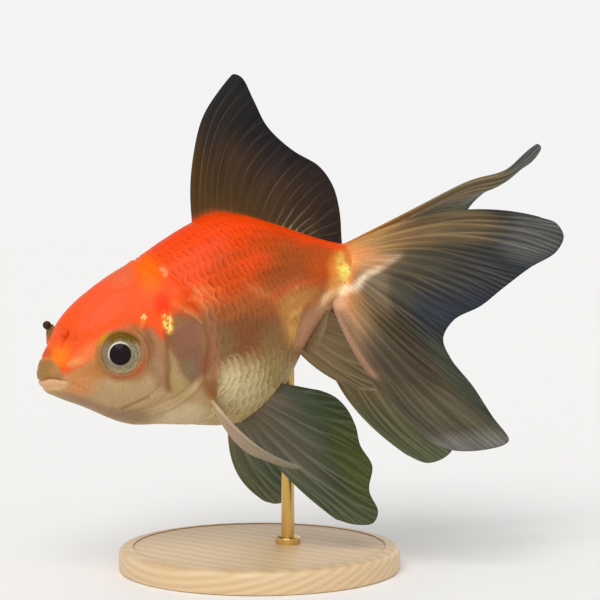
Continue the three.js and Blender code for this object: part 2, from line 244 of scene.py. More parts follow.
# Thin bony scales in their wet skin: the pocket of each is darker, partly its own pigment and partly painted
# shadow under the free edge of the scale before it; the free edge is paler, partly the clear edge itself and
# partly a painted highlight where it catches the light; and growth rings round the middle of the plate.
# Pocket and rim are shares of a scale's length.
scaleLook = {"pocket": (0.54, 0.86), "pocketShade": -0.55, "rim": (0.86, 0.98), "rimLight": 0.22}
softStep = {"interpolation_type": "SMOOTHSTEP"}
materials["scale"] = makeMaterial(
    "wetFishScale",
    {"Coat Weight": 0.05, "Coat Roughness": 0.2, "IOR": 1.45, "Specular IOR Level": 0.1},
    {
        "plate": ("UVMap", {"uv_map": "ScaleUV"}, {}),
        "parts": ("SeparateXYZ", {}, {"Vector": "plate"}),
        "cells": ("TexNoise", {"Scale": 1 / (0.35 * mm), "Detail": 3.0, "Roughness": 0.6}, onObject),
        "wobble": ("Math", {"operation": "MULTIPLY_ADD", 1: 0.16, 2: -0.08}, {0: "cells"}),
        "along": ("Math", {"operation": "ADD"}, {0: "parts.Y", 1: "wobble"}),
        # the darker pocket: part pigment, part painted shadow under the scale before
        "pocket": (
            "MapRange",
            {**softStep, "From Min": scaleLook["pocket"][0], "From Max": scaleLook["pocket"][1],
             "To Min": scaleLook["pocketShade"], "To Max": 0.0},
            {"Value": "along"},
        ),
        # the paler rim: part the clear edge, part painted highlight
        "rim": (
            "MapRange",
            {**softStep, "From Min": scaleLook["rim"][0], "From Max": scaleLook["rim"][1],
             "To Min": 0.0, "To Max": scaleLook["rimLight"]},
            {"Value": "along"},
        ),
        **paint,
        "pattern": ("Math", {"operation": "ADD"}, {0: "rim", 1: "pocket"}),
        "patterned": ("Math", {"operation": "MULTIPLY_ADD", 2: 1.0}, {0: "pattern", 1: "paint.Alpha"}),
        "mottle": ("MapRange", {**midNoise, "To Min": 0.9, "To Max": 1.06}, {"Value": "cells"}),
        "shade": ("Math", {"operation": "MULTIPLY"}, {0: "patterned", 1: "mottle"}),
        **paintedTone,
        "gloss": ("MapRange", {**midNoise, "To Min": 0.3, "To Max": 0.48}, {"Value": "cells"}),
        "rings": (
            "TexWave",
            {"wave_type": "RINGS", "rings_direction": "SPHERICAL", "Scale": 5.0, "Distortion": 0.6,
             "Detail": 1.0},
            {"Vector": "plate"},
        ),
        "ringed": ("Bump", {"Strength": 0.25, "Distance": 0.02 * mm}, {"Height": "rings.Fac"}),
        "grain": ("Bump", {"Strength": 0.3, "Distance": 0.05 * mm}, {"Height": "cells", "Normal": "ringed"}),
    },
)

# Fin film stretched over jointed horny rays: satin and moist, with a joint every half millimetre of a ray
# that is 40 mm long.
finLook = {"joint": 0.5, "length": 40.0, "jointShade": 0.06}
materials["fin"] = makeMaterial(
    "moistFinFilm",
    {"Coat Weight": 0.04, "Coat Roughness": 0.3, "IOR": 1.4, "Specular IOR Level": 0.12},
    {
        "parts": ("SeparateXYZ", {}, {"Vector": "place.UV"}),
        "joints": (
            "Math", {"operation": "MULTIPLY", 1: math.tau * finLook["length"] / finLook["joint"]},
            {0: "parts.Y"},
        ),
        "beat": ("Math", {"operation": "SINE"}, {0: "joints"}),
        **paint,
        "onRay": ("Math", {"operation": "MULTIPLY"}, {0: "beat", 1: "paint.Alpha"}),
        "cells": ("TexNoise", {"Scale": 1 / (0.3 * mm), "Detail": 3.0, "Roughness": 0.6}, onObject),
        "mottle": ("MapRange", {**midNoise, "To Min": 0.84, "To Max": 1.12}, {"Value": "cells"}),
        "shade": ("Math", {"operation": "MULTIPLY_ADD", 1: finLook["jointShade"]}, {0: "onRay", 2: "mottle"}),
        **paintedTone,
        "gloss": ("MapRange", {**midNoise, "To Min": 0.38, "To Max": 0.56}, {"Value": "cells"}),
        "jointed": ("Bump", {"Strength": 0.25, "Distance": 0.04 * mm}, {"Height": "onRay"}),
        "grain": ("Bump", {"Strength": 0.3, "Distance": 0.03 * mm}, {"Height": "cells", "Normal": "jointed"}),
    },
)

# The clear, wet front of the eye over the iris: the coat is the cornea, smooth and bright, over silvery
# flecks of 0.22 mm and streaks of 0.6 mm.
materials["eye"] = makeMaterial(
    "wetCorneaOverIris",
    {"Coat Weight": 0.16, "Coat Roughness": 0.03, "Coat IOR": 1.38, "Roughness": 0.4,
     "Specular IOR Level": 0.06},
    {
        "flecks": ("TexNoise", {"Scale": 1 / (0.22 * mm), "Detail": 4.0, "Roughness": 0.7}, onObject),
        "streaks": ("TexNoise", {"Scale": 1 / (0.6 * mm), "Detail": 2.0}, onObject),
        "fine": ("MapRange", {**midNoise, "To Min": 0.78, "To Max": 1.16}, {"Value": "flecks"}),
        "broad": ("MapRange", {**midNoise, "To Min": 0.86, "To Max": 1.08}, {"Value": "streaks"}),
        "shade": ("Math", {"operation": "MULTIPLY"}, {0: "fine", 1: "broad"}),
        **paint, **paintedTone,
    },
)

# Turned beech, oiled: growth lines of about 1.4 mm across the board and short darker ray flecks.
beechLook = {"growth": 1.4, "fleck": (2.4, 0.35, 0.35), "light": "#dfc299", "dark": "#d0ad7f"}
bandsPerUnit = 3.18  # bands that a wave texture of scale 1 draws in one unit
materials["beech"] = makeMaterial(
    "oiledBeech",
    {"Coat Weight": 0.12, "Coat Roughness": 0.3},
    {
        "board": ("Mapping", {"Scale": (1 / mm, 1 / mm, 1 / mm), "Rotation": (1.36, 0.03, 0.35)}, onObject),
        "growth": (
            "TexWave",
            {"wave_type": "BANDS", "bands_direction": "Y", "Scale": 1 / beechLook["growth"] / bandsPerUnit,
             "Distortion": 5.0, "Detail": 3.0, "Detail Scale": 0.12},
            {"Vector": "board"},
        ),
        "along": ("Mapping", {"Scale": [1 / size for size in beechLook["fleck"]]}, {"Vector": "board"}),
        "flecks": ("TexNoise", {"Scale": 1.0, "Detail": 3.0}, {"Vector": "along"}),
        "blend": ("Math", {"operation": "MULTIPLY"}, {0: "growth.Fac", 1: "flecks"}),
        "tone": ("ValToRGB", {"ramp": [(0, beechLook["light"]), (0.7, beechLook["dark"])]}, {"Fac": "blend"}),
        "gloss": ("MapRange", {"To Min": 0.38, "To Max": 0.6}, {"Value": "flecks"}),
        "grain": ("Bump", {"Strength": 0.3, "Distance": 0.05 * mm}, {"Height": "flecks"}),
    },
)

# Brass rod, drawn and rubbed satin: fine lines 0.08 mm apart and some 20 mm long.
brassLook = {"grain": (0.08, 0.08, 20.0), "dull": "#b98f4c", "bright": "#d9b36a"}
materials["brass"] = makeMaterial(
    "satinBrass",
    {"Metallic": 1.0},
    {
        "drawn": ("Mapping", {"Scale": [1 / (size * mm) for size in brassLook["grain"]]}, onObject),
        "lines": ("TexNoise", {"Scale": 1.0, "Detail": 2.0}, {"Vector": "drawn"}),
        "tone": (
            "ValToRGB", {"ramp": [(0, brassLook["dull"]), (0.6, brassLook["bright"])]}, {"Fac": "lines"},
        ),
        "gloss": ("MapRange", {"To Min": 0.22, "To Max": 0.42}, {"Value": "lines"}),
    },
)
print("materials made:", len(materials))


# Camera
view = {
    "target": (8.6, 0.0, 53.4),
    "azimuth": -20.0,
    "elevation": 3.0,
    "distance": 380.0,
    "lens": 114.0,
    "sensor": 36.0,
}


def makeCamera():
    azimuth, elevation = math.radians(view["azimuth"]), math.radians(view["elevation"])
    level = math.cos(elevation)
    back = Vector((math.sin(azimuth) * level, -math.cos(azimuth) * level, math.sin(elevation)))
    data = bpy.data.cameras.new("camera")
    data.lens = view["lens"]
    data.sensor_width = view["sensor"]
    data.clip_start = 0.01
    camera = bpy.data.objects.new("camera", data)
    bpy.context.scene.collection.objects.link(camera)
    camera.location = (Vector(view["target"]) + back * view["distance"]) * mm
    camera.rotation_euler = back.to_track_quat("Z", "Y").to_euler()
    bpy.context.scene.camera = camera


makeCamera()
print("camera placed")

# The body, as cross-sections from the snout to the tail root
body = {
    "stations": [  # distance from the snout, height of back and belly, half the width
        (-0.6, -1.1, -1.3, 0), (-0.1, 1.0, -3.4, 2.1), (1.4, 3.1, -5.0, 3.6), (3.6, 5.3, -6.8, 5.0),
        (6.4, 8.5, -9.0, 6.5), (10, 10.7, -12.3, 8.0), (14, 12.4, -15.1, 9.3), (19, 14.0, -16.8, 10.6),
        (25, 15.4, -19.0, 12.0), (31, 17.2, -21.2, 12.8), (37, 18.6, -22.2, 12.8), (42, 19.0, -20.9, 12.1),
        (47, 17.4, -16.8, 10.4), (52, 14.4, -12.0, 8.2), (57, 11.0, -8.4, 5.8), (62, 7.6, -5.5, 4.0),
        (66, 5.4, -4.2, 3.0), (69, 4.2, -2.8, 1.9), (70, 1.2, 0.8, 0),
    ],
    "widest": 0.46,  # height of the widest place, as a share of the depth
    "around": 280,
    "rings": 300,
    "ringStops": (0, 10, 70, 160, 220, 300),  # rings used up to each of these stations
    "stationStops": (0, 1, 4, 7, 9, 18),
    "sides": 0.2,  # how much closer the lengthwise lines run on the sides than on the back
    "flapStrip": 0.06,  # lowest share of the unwrapped skin, kept for the nostril flaps
    "coat": 0.26,  # depth of the scales over the skin
}
stationTable = np.array(body["stations"], float)
ringShares = np.array(body["ringStops"]) / body["ringStops"][-1]
stationShares = np.array(body["stationStops"]) / body["stationStops"][-1]


def station(t, column):  # t from 0 at the snout to 1 at the tail root
    values = stationTable[:, column]
    last = len(values) - 1
    i = np.clip(np.floor(t * last).astype(int), 0, last - 1)
    before, after = values[np.clip(i - 1, 0, last)], values[np.clip(i + 2, 0, last)]
    return smoothBetween(before, values[i], values[i + 1], after, t * last - i)


def bodyPoint(t, angle):  # angle from the back, positive towards the right side
    x, top, bottom, half = (station(t, column) for column in range(4))
    widest = bottom + body["widest"] * (top - bottom)
    upward = np.cos(angle)
    rise = np.where(upward > 0, top - widest, widest - bottom) * upward
    return np.stack([x, half * np.sin(angle), widest + rise], -1)


# Lines on the side of the body, as (x, z).
lines = {
    "mouth": [(-2.0, -1.2), (-0.6, -1.15), (0.7, -0.9), (1.8, -1.2), (3.0, -1.9), (4.0, -2.7)],
    "jawJoint": [(4.0, -2.7), (5.2, -3.9), (6.6, -5.8), (7.6, -8.0)],
    "lipTop": [(-0.6, 3.2), (1.1, 2.8), (2.0, 2.2), (2.5, 1.4), (3.0, 0.1), (3.5, -0.9), (4.1, -1.9)],
    "lipBottom": [(-1.4, -2.6), (-0.2, -2.7), (1.2, -2.7), (2.6, -3.0), (3.7, -3.4)],
    "gillEdge": [
        (25.4, 4.7), (27.2, 4.4), (28.6, 3.0), (29.9, 1.0), (30.3, -1.5), (29.8, -3.6), (28.9, -5.5),
        (28.2, -7.3), (27.6, -9.3), (26.6, -10.6), (24.6, -12.0), (22.2, -13.0), (20.1, -13.6),
        (16.9, -13.8), (13.6, -13.4),
    ],
    "cheekBack": [
        (24.0, 3.3), (23.1, 1.0), (22.6, -1.0), (21.7, -4.0), (21.2, -7.4), (20.2, -10.2), (17.6, -12.2),
    ],
    "cheekCrease": [(9.6, -9.8), (11.4, -10.5), (13.4, -10.3), (15.7, -9.9), (18.0, -9.2), (20.0, -7.6)],
    "throatFold": [(9.0, -10.9), (13.0, -11.9), (17.0, -11.9), (20.6, -11.3), (24.0, -10.6), (26.6, -8.6)],
    "nape": [(24.2, 16.5), (24.5, 14.9), (25.4, 12.6), (26.4, 9.6), (26.9, 6.6)],
    "scaleFront": [
        (24.4, 18.0), (24.8, 15.2), (26.6, 12.7), (28.1, 9.5), (28.8, 6.5), (28.9, 3.4), (30.1, 1.0),
        (30.5, -1.5), (30.1, -3.6), (29.6, -6.5), (29.4, -9.5), (29.0, -12.5), (27.4, -16.0), (24.4, -19.2),
        (21.0, -24.0),
    ],
}
eyePlace = {"x": 14.9, "side": 6.6, "z": -0.25, "radius": 4.56, "forward": 14.0, "up": 4.0}


def withEnds(points):  # the points with one more past each end, for a smooth curve through all of them
    p = np.array(points, float)
    return np.vstack([2 * p[0] - p[1], p, 2 * p[-1] - p[-2]])


def sideCurve(points, closed, steps=8):  # a smooth line through points in the side view
    padded = withEnds([*points, points[0]] if closed else points)
    f = np.linspace(0, 1, steps, endpoint=False)[:, None]
    runs = [smoothBetween(*padded[i:i + 4], f) for i in range(len(padded) - 3)]
    return np.vstack([*runs, padded[-2:-1]])


# The signed distance from a smooth side-view line, positive on its right hand, and the share along it.
def lineDistance(points, x, z, closed=False):
    curve = sideCurve(points, closed)
    best = np.full(x.shape, 1e9)
    sign = np.ones(x.shape)
    share = np.zeros(x.shape)
    count = len(curve) - 1
    for i in range(count):
        (ax, az), (bx, bz) = curve[i], curve[i + 1]
        dx, dz = bx - ax, bz - az
        f = np.clip(((x - ax) * dx + (z - az) * dz) / (dx * dx + dz * dz), 0, 1)
        far = np.hypot(x - ax - f * dx, z - az - f * dz)
        closer = far < best
        best = np.where(closer, far, best)
        share = np.where(closer, (i + f) / count, share)
        sign = np.where(closer, np.where((z - az) * dx - (x - ax) * dz < 0, 1.0, -1.0), sign)
    return best * sign, share


def insideOf(points, x, z):  # whether a place lies inside a closed smooth outline
    curve = sideCurve(points, True)
    odd = np.zeros(x.shape, bool)
    for (ax, az), (bx, bz) in zip(curve[:-1], curve[1:]):
        if az != bz:
            odd ^= ((az > z) != (bz > z)) & (x < (bx - ax) * (z - az) / (bz - az) + ax)
    return odd


def fadeEnds(share, part=0.08):  # 0 at both ends of a line, 1 between them
    return eased(np.minimum(share, 1 - share) / part)


def eyeAxis(side):  # the way that the eye of a side looks, left -1 and right 1
    forward, up = math.radians(eyePlace["forward"]), math.radians(eyePlace["up"])
    return np.array([
        -math.sin(forward) * math.cos(up), side * math.cos(forward) * math.cos(up), math.sin(up),
    ])


def eyeDistance(points):  # distance from the eye's axis, on whichever side the place is
    away = points * (1, 0, 1) + np.abs(points * (0, 1, 0)) - [eyePlace[key] for key in ("x", "side", "z")]
    depth = away @ eyeAxis(1)
    distance = np.linalg.norm(away - depth[:, None] * eyeAxis(1), axis=1)
    return np.where(depth > -1, distance, 99.0)


# Folds of the skin: a profile holds heights by distance from its line, a groove a depth and a width.
relief = {
    "socket": [(0, -2.4), (3.4, -2.2), (3.58, -0.6), (3.74, 0.0), (3.95, 0.13), (4.3, 0.16), (5.0, 0.0),
               (5.5, -0.1), (6.3, -0.03), (7.6, 0)],  # by distance from the eye's axis
    "gillEdge": [(-3.0, 0), (-1.1, 0.08), (-0.45, 0.13), (-0.1, 0.03), (0.2, -0.28), (0.6, -0.32), (3.2, 0)],
    "nape": [(-2.2, 0), (-0.6, 0.08), (0.1, -0.22), (0.8, 0.05), (2.6, 0)],
    "cheekBack": [(-1.6, 0), (-0.6, 0.08), (0.05, -0.1), (0.8, 0.1), (2.4, 0.16), (4.5, 0)],
    "lips": [(-1.9, 0), (-1.0, 0.14), (-0.5, 0.18), (0.0, 0.02), (0.5, 0.18), (1.0, 0.12), (1.7, 0)],
    "cheekCrease": {"depth": 0.2, "width": 0.36},
    "throatFold": {"depth": 0.2, "width": 0.4},
    "jawJoint": {"depth": 0.2, "width": 0.4},
    "membrane": {"depth": 0.14, "width": 0.3},  # the folds of the gill membrane, under the cover
    "mouth": {"depth": 0.34, "width": 0.2},
    "lipTop": {"depth": 0.2, "width": 0.36},
    "lipBottom": {"depth": 0.12, "width": 0.36},
    "nostril": {"at": (7.2, 5.0), "size": (0.6, 0.4), "depth": 0.4},
    "cobble": {"height": 0.05, "size": 1.7},  # of the bare skin
}


def groove(distance, shape):
    return -shape["depth"] * bell(distance / shape["width"])


def bodyRelief(points):  # height of the folds of the skin over the plain body, in millimetres
    x, z = points[:, 0], points[:, 2]
    aside = eased((np.abs(points[:, 1]) - 1.5) / 3)  # 0 along the back and the keel
    distance, share = lineDistance(lines["gillEdge"], x, z)
    height = easedThrough(-distance, relief["gillEdge"]) * fadeEnds(share, 0.06) * aside
    distance, share = lineDistance(lines["nape"], x, z)
    height += easedThrough(-distance, relief["nape"]) * eased((1 - share) / 0.5)
    distance, share = lineDistance(lines["cheekBack"], x, z)
    height += easedThrough(-distance, relief["cheekBack"]) * fadeEnds(share, 0.15) * aside
    folds = [(lines[name], relief[name]) for name in ("cheekCrease", "throatFold", "jawJoint")]
    for shift in (1.0, 2.0):
        low = [(px - 0.5 * shift, pz + 0.75 * shift) for px, pz in lines["gillEdge"][8:]]
        folds.append((low, relief["membrane"]))
    for line, shape in folds:
        distance, share = lineDistance(line, x, z)
        height += groove(distance, shape) * fadeEnds(share) * aside
    distance, share = lineDistance(lines["mouth"], x, z)
    atMouth = eased((1 - share) / 0.25)
    height += (groove(distance, relief["mouth"]) + easedThrough(distance, relief["lips"])) * atMouth
    for name, fade in (("lipTop", 0.1), ("lipBottom", 0.2)):
        distance, share = lineDistance(lines[name], x, z)
        height += groove(distance, relief[name]) * eased((1 - share) / fade)
    pit = relief["nostril"]
    across = np.hypot((x - pit["at"][0]) / pit["size"][0], (z - pit["at"][1]) / pit["size"][1])
    height -= pit["depth"] * bell(across) * aside
    around = eyeDistance(points)
    height *= eased((around - 5) / 2.6)  # the folds fade out towards the eye
    height += easedThrough(around, relief["socket"])
    cobble = relief["cobble"]
    bumps = lattice(x / cobble["size"], z / cobble["size"] + points[:, 1], 3)
    return height + cobble["height"] * bumps * (1 - coatShare(x, z))


def coatShare(x, z):  # 0 on bare skin, 1 where scales cover it
    return eased((0.2 - lineDistance(lines["scaleFront"], x, z)[0]) / 1.6)


# Markings, in the order they are laid on: an outline, a spot (at, size, turn) or a line with a width.
# They are the same on both sides of the fish. Soft is the width of the fading edge, in millimetres or,
# round a spot, as a share of its size. Grain breaks a spot up into flecks of so many millimetres, and share
# is how much of it they fill.
markings = {
    "back": {"colour": "#cf480f", "soft": 5, "outline": [
        (0, 30), (0, 2), (20, 1), (31, 3.2), (38, 4.2), (44, 4.8), (50, 8), (57, 7.2), (64, 3.6), (75, 2),
        (75, 30),
    ]},
    "ridge": {"colour": "#f04505", "soft": 4, "outline": [
        (16, 30), (20, 8), (30, 9.4), (40, 12), (48, 13), (56, 9.8), (66, 5), (75, 30),
    ]},
    "foreBack": {"colour": "#ee4c12", "at": (30, 11), "size": (5, 5), "amount": 0.8},
    "rearBrown": {"colour": "#a04c18", "at": (54, 5.2), "size": (8.5, 3.2), "turn": -24, "amount": 0.8},
    "bandLow": {"colour": "#b0480e", "width": 0.7, "amount": 0.55, "line": [
        (37, 12), (42.4, 11.3), (47.7, 11.2), (54.2, 9.6), (59.9, 6.4), (63.7, 3.3),
    ]},
    "bandHigh": {"colour": "#c04208", "width": 0.5, "amount": 0.5, "line": [
        (38.4, 14.6), (43.2, 13.9), (47.6, 13.4), (53.5, 11.1),
    ]},
    "sideRed": {
        "colour": "#e64c1c", "at": (44.2, 8.7), "size": (4.2, 1.8), "turn": -8, "soft": 1.2, "amount": 0.7,
    },
    "sideBrown": {
        "colour": "#9a4616", "at": (47.6, 5.2), "size": (4.6, 1.6), "turn": -14, "soft": 1.2, "amount": 0.7,
    },
    "rearStreak": {"colour": "#d4582a", "width": 0.7, "amount": 0.7, "line": [
        (46, 1.2), (51, 1.6), (56, 1.2), (61, 0.2),
    ]},
    "flankBrown": {"colour": "#875530", "soft": 4, "outline": [
        (29, 2.6), (36, 0.4), (42, -1.4), (49, -3.6), (59, -4.8), (60, -9), (48, -22), (26, -26), (28, -12),
    ]},
    "flankDark": {"colour": "#7a4a26", "at": (39, -3.6), "size": (5.6, 3.2), "turn": -10, "amount": 0.7},
    "flankOlive": {"colour": "#7c6442", "at": (33, -4.6), "size": (2.2, 4), "amount": 0.7},
    "flankStraw": {"colour": "#8a6b40", "at": (44, -8.6), "size": (4.6, 4.6), "turn": 20, "amount": 0.8},
    "oliveLine": {"colour": "#8b5526", "width": 0.45, "amount": 0.5, "line": [
        (32.6, 3.3), (40.2, 0.8), (48.8, -1.4), (59.1, -2.6),
    ]},
    "belly": {"colour": "#b9a474", "soft": 4.6, "outline": [
        (22, -11), (30.4, -8.8), (35.4, -8.6), (40, -10.4), (44.5, -13), (50, -15), (50, -30), (16, -30),
    ]},
    "bellyPale": {"colour": "#ccba8c", "at": (33, -15), "size": (4.4, 5.8), "turn": 10},
    "bellyOlive": {"colour": "#95804e", "at": (42.5, -13.5), "size": (2.6, 5), "turn": 30, "amount": 0.8},
    "rearGold": {"colour": "#c58a46", "soft": 3.4, "amount": 0.8, "outline": [
        (46.6, -0.6), (50, 0.6), (54, 0.2), (57, -0.8), (55.4, -2.6), (52, -3.6), (50, -6), (48.4, -9),
        (46.6, -8), (46.4, -4),
    ]},
    "rearGoldFleck": {
        "colour": "#e8b868", "at": (50.2, -3.4), "size": (1.6, 5), "turn": -24, "soft": 1.4, "grain": 1.1,
        "share": 0.3, "amount": 0.7,
    },
    "rearRose": {"colour": "#be8c68", "soft": 2, "amount": 0.9, "outline": [
        (48.4, -9.6), (49.6, -7.8), (51.6, -5.4), (55.4, -3.5), (59, -2.6), (62, -3.2), (60, -9), (52, -12),
    ]},
    "rearRoseRidge": {"colour": "#ffd298", "width": 0.9, "amount": 0.95, "line": [
        (57.6, -3.8), (60.4, -2.8), (63.2, -3.2), (65.4, -3.0),
    ]},
    "stalkOrange": {"colour": "#bc5018", "at": (60.4, 2.2), "size": (5, 3.4), "turn": -30},
    "tailGlow": {"colour": "#f59a3c", "at": (63.5, 0.0), "size": (2.5, 3.2), "soft": 1.6},
    "stalkEnd": {"colour": "#f09a52", "at": (68.4, 1.4), "size": (2.4, 5), "soft": 1.3},
    "stalkGold": {"colour": "#eea252", "at": (61.6, -1.6), "size": (2.4, 1.2), "soft": 1.5, "amount": 0.8},
    "tailGold": {
        "colour": "#fff07c", "at": (64.0, 0.5), "size": (1.1, 2.6), "turn": -6, "soft": 1.1, "grain": 0.7,
        "share": 0.8,
    },
    "tailWhite": {"colour": "#fff0b4", "at": (62.8, -3.3), "size": (1.3, 0.8), "soft": 1.3},
    "shoulderPale": {
        "colour": "#ee8244", "at": (32, 5.8), "size": (3.2, 1.6), "turn": -20, "soft": 1.4, "grain": 1.2,
        "amount": 0.9,
    },
    "flankLight": {
        "colour": "#cc743e", "at": (43.6, 2.8), "size": (3, 0.7), "turn": -44, "soft": 1.4, "amount": 0.7,
    },
    "gillStrip": {"colour": "#a0694a", "width": 1.0, "amount": 0.8, "line": [
        (32.0, 3.4), (31.4, -2), (30.4, -7), (28.8, -12),
    ]},
    "cheek": {"colour": "#b9996e", "soft": 2.4, "outline": [
        (-2, 0.4), (4, -0.6), (8, 0.6), (11, 2), (16, 2.6), (19.4, 2.6), (22, 0), (24, -5), (26, -8),
        (27.4, -9.6), (28, -14), (25, -18), (20, -24), (-2, -16),
    ]},
    "snoutTan": {"colour": "#b8743a", "soft": 2.4, "amount": 0.9, "outline": [
        (3.6, -1), (6, -0.8), (9, 0.6), (11, 2), (11.6, -1.5), (10, -3.6), (7, -3), (4.4, -2.2),
    ]},
    "breast": {"colour": "#cbb892", "at": (22.5, -16.4), "size": (6, 3), "turn": -20},
    "breastPatch": {
        "colour": "#dac8a4", "at": (22.6, -15.6), "size": (4.6, 2.2), "turn": -20, "grain": 2.4,
        "amount": 0.6,
    },
    "breastShade": {
        "colour": "#917a5c", "at": (12.6, -12.4), "size": (5.4, 1.6), "turn": -20, "soft": 1.4,
        "amount": 0.8,
    },
    "jawPeach": {"colour": "#cf8c54", "at": (5.4, -3.4), "size": (2.8, 2.2), "turn": -35, "soft": 1.6},
    # the jaw's rose-brown tone, darkened into painted shade along the underside of the lower jaw
    "jawRoseShade": {
        "colour": "#9c7a60", "at": (6.4, -7.8), "size": (5, 0.8), "turn": -38, "soft": 1.6, "amount": 0.8,
    },
    "headOrange": {"colour": "#f4561f", "soft": 2.6, "outline": [
        (-2, 6), (-2, 0.2), (1.6, -0.3), (3.6, -0.6), (5.6, -0.2), (7.9, 0.6), (10.0, 1.6), (11.8, 3.0),
        (14.5, 4.0), (17, 3.8), (19, 3.6), (20.2, 3.3), (21.2, 2.0), (21.9, 0.6), (22.7, 0.6), (23.6, 2.0),
        (24.8, 3.8), (27, 5.2), (28.6, 8), (26.4, 12.4), (24.4, 16), (22, 30), (-2, 30),
    ]},
    # a lighter orange streak in front of the eye: painted highlight
    "eyeFrontHighlight": {
        "colour": "#f0884e", "at": (8.8, 2.0), "size": (3, 1.3), "turn": 20, "soft": 1.6, "amount": 0.7,
    },
    "temple": {"colour": "#98724e", "soft": 2.4, "amount": 0.85, "outline": [
        (17.6, -4.4), (18.6, -1.0), (19.4, 1.6), (20.3, 3.0), (21.2, 2.2), (21.9, 0.2), (22.3, -2),
        (22.0, -6), (21.0, -9), (19.4, -8.2), (18.6, -6.2),
    ]},
    "templeDark": {
        "colour": "#7c5234", "at": (19.7, 0.4), "size": (0.7, 2.4), "turn": -6, "soft": 1.4, "amount": 0.95,
    },
    "templePale": {"colour": "#a9835f", "at": (20.0, -4.4), "size": (0.8, 2.4), "soft": 1.4, "amount": 0.8},
    "templeRose": {"colour": "#b5764e", "width": 0.5, "amount": 0.5, "line": [
        (20.7, 2.6), (21.2, -0.6), (21.0, -3.2),
    ]},
    "crown": {"colour": "#f45c32", "at": (15, 10.6), "size": (6, 3), "turn": 35, "amount": 0.8},
    "crownPink": {"colour": "#ea6a40", "at": (20.2, 13.4), "size": (3, 1.6), "turn": 20, "amount": 0.8},
    "napeYellow": {"colour": "#fa6a06", "at": (24.6, 12.6), "size": (2.0, 3.6), "turn": -20, "soft": 1.4},
    "napePale": {"colour": "#ff9c62", "at": (27.2, 12.2), "size": (0.6, 0.8), "soft": 1.2, "grain": 0.6},
    "redSpot": {"colour": "#f83c10", "at": (24.4, 6.6), "size": (1.4, 2.0), "turn": -25, "soft": 1.2},
    "collarLight": {
        "colour": "#f48040", "width": 0.6, "amount": 0.5, "line": [(26.4, 6.2), (27.8, 4.8), (29.4, 3.6)],
    },
    "snoutYellow": {
        "colour": "#ff821c", "at": (3.7, 2.7), "size": (1.5, 2.1), "turn": -50, "soft": 1.6, "amount": 0.9,
    },
    "snoutPeach": {
        "colour": "#e89a58", "at": (6.0, 0.9), "size": (1.5, 0.7), "turn": 10, "soft": 1.4, "amount": 0.8,
    },
    "snoutTip": {"colour": "#c9542c", "at": (2.0, 3.9), "size": (0.9, 1.0), "soft": 1.4, "amount": 0.8},
    # olive-brown upper lip: partly its own pale, unpigmented tone and partly painted shade on its underside
    "lipUpperShaded": {"colour": "#9c7440", "soft": 1.2, "outline": [
        (-3, -1.0), (-1, 1.6), (0.4, 2.7), (1.2, 2.6), (2.1, 2.4), (2.6, 1.7), (2.9, 0.8), (3.1, -0.2),
        (3.1, -1.0), (2.4, -1.3), (1.2, -0.9),
    ]},
    "lipTan": {"colour": "#b5804c", "at": (2.2, 0.2), "size": (0.9, 0.8), "soft": 1.4, "amount": 0.8},
    "lipEdge": {"colour": "#d08a4c", "width": 0.22, "amount": 0.7, "line": [
        (0.2, 2.6), (1.2, 2.75), (2.1, 2.5), (2.7, 1.7), (3.0, 0.6),
    ]},
    "lipLower": {"colour": "#deb082", "soft": 1.2, "outline": [
        (-3, -0.9), (0.7, -1.0), (1.9, -1.4), (3.0, -2.0), (3.4, -2.9), (2.2, -3.6), (0.6, -3.3), (-3, -3.4),
    ]},
    "mouthLine": {"colour": "#8d6a40", "width": 0.14, "amount": 0.5, "line": [
        (-1.4, -0.75), (0.2, -0.8), (1.5, -1.05), (2.6, -1.6),
    ]},
    "gillCover": {"colour": "#875e46", "soft": 3, "outline": [
        (22.9, -0.6), (23.7, 2.4), (25, 3.4), (26.6, 4.0), (28.7, 2.6), (29.9, 0.4), (30.0, -2), (29, -5.2),
        (27.6, -8.6), (25.4, -9.4), (24, -8), (23.1, -4),
    ]},
    "coverOlive": {
        "colour": "#976c40", "at": (25.8, 2.6), "size": (1.8, 1.0), "turn": -20, "soft": 1.4, "amount": 0.7,
    },
    "coverMauve": {"colour": "#93604e", "at": (26.4, -0.6), "size": (1.8, 1.6), "soft": 1.4, "amount": 0.6},
    "coverRear": {"colour": "#986a46", "at": (29.6, -1.2), "size": (1.1, 3.0), "soft": 1.6, "amount": 0.7},
    "coverGreen": {
        "colour": "#857254", "at": (25.2, -6.6), "size": (1.5, 2.2), "turn": 20, "soft": 1.4, "amount": 0.7,
    },
    "coverRim": {
        "colour": "#cf9c62", "width": 0.24, "amount": 0.55, "line": [(27.9, 4.1), (29.2, 2.9), (30.0, 1.2)],
    },
    "cheekStripe": {"colour": "#b09764", "soft": 2, "outline": [
        (22.4, -1.9), (23.0, -4.2), (23.4, -7), (24.2, -9.8), (23.2, -11.6), (21.6, -11.6), (21.4, -8.4),
        (22.0, -5),
    ]},
    "cheekGroove": {"colour": "#87592e", "width": 0.55, "amount": 0.75, "line": [
        (23.3, 1.0), (22.9, -0.6), (22.2, -2.6), (21.8, -5.0), (21.1, -7.2), (21.0, -9.6),
    ]},
    "membrane": {"colour": "#c2a67c", "width": 0.9, "amount": 0.7, "line": [
        (17.5, -13.4), (20.5, -13.2), (23.6, -12), (27.2, -9.6),
    ]},
    "armpit": {
        "colour": "#8c5c30", "at": (28.8, -12.0), "size": (1.5, 3.0), "turn": 20, "soft": 1.4, "amount": 0.9,
    },
    "creaseShade": {"colour": "#74603c", "width": 0.26, "amount": 0.6, "line": [
        (12.0, -10.5), (13.4, -10.2), (15.7, -9.8), (17.0, -9.7),
    ]},
    "fleckBig": {"colour": "#f0981e", "at": (24.1, 3.1), "size": (0.95, 1.9), "turn": -8, "grain": 0.55},
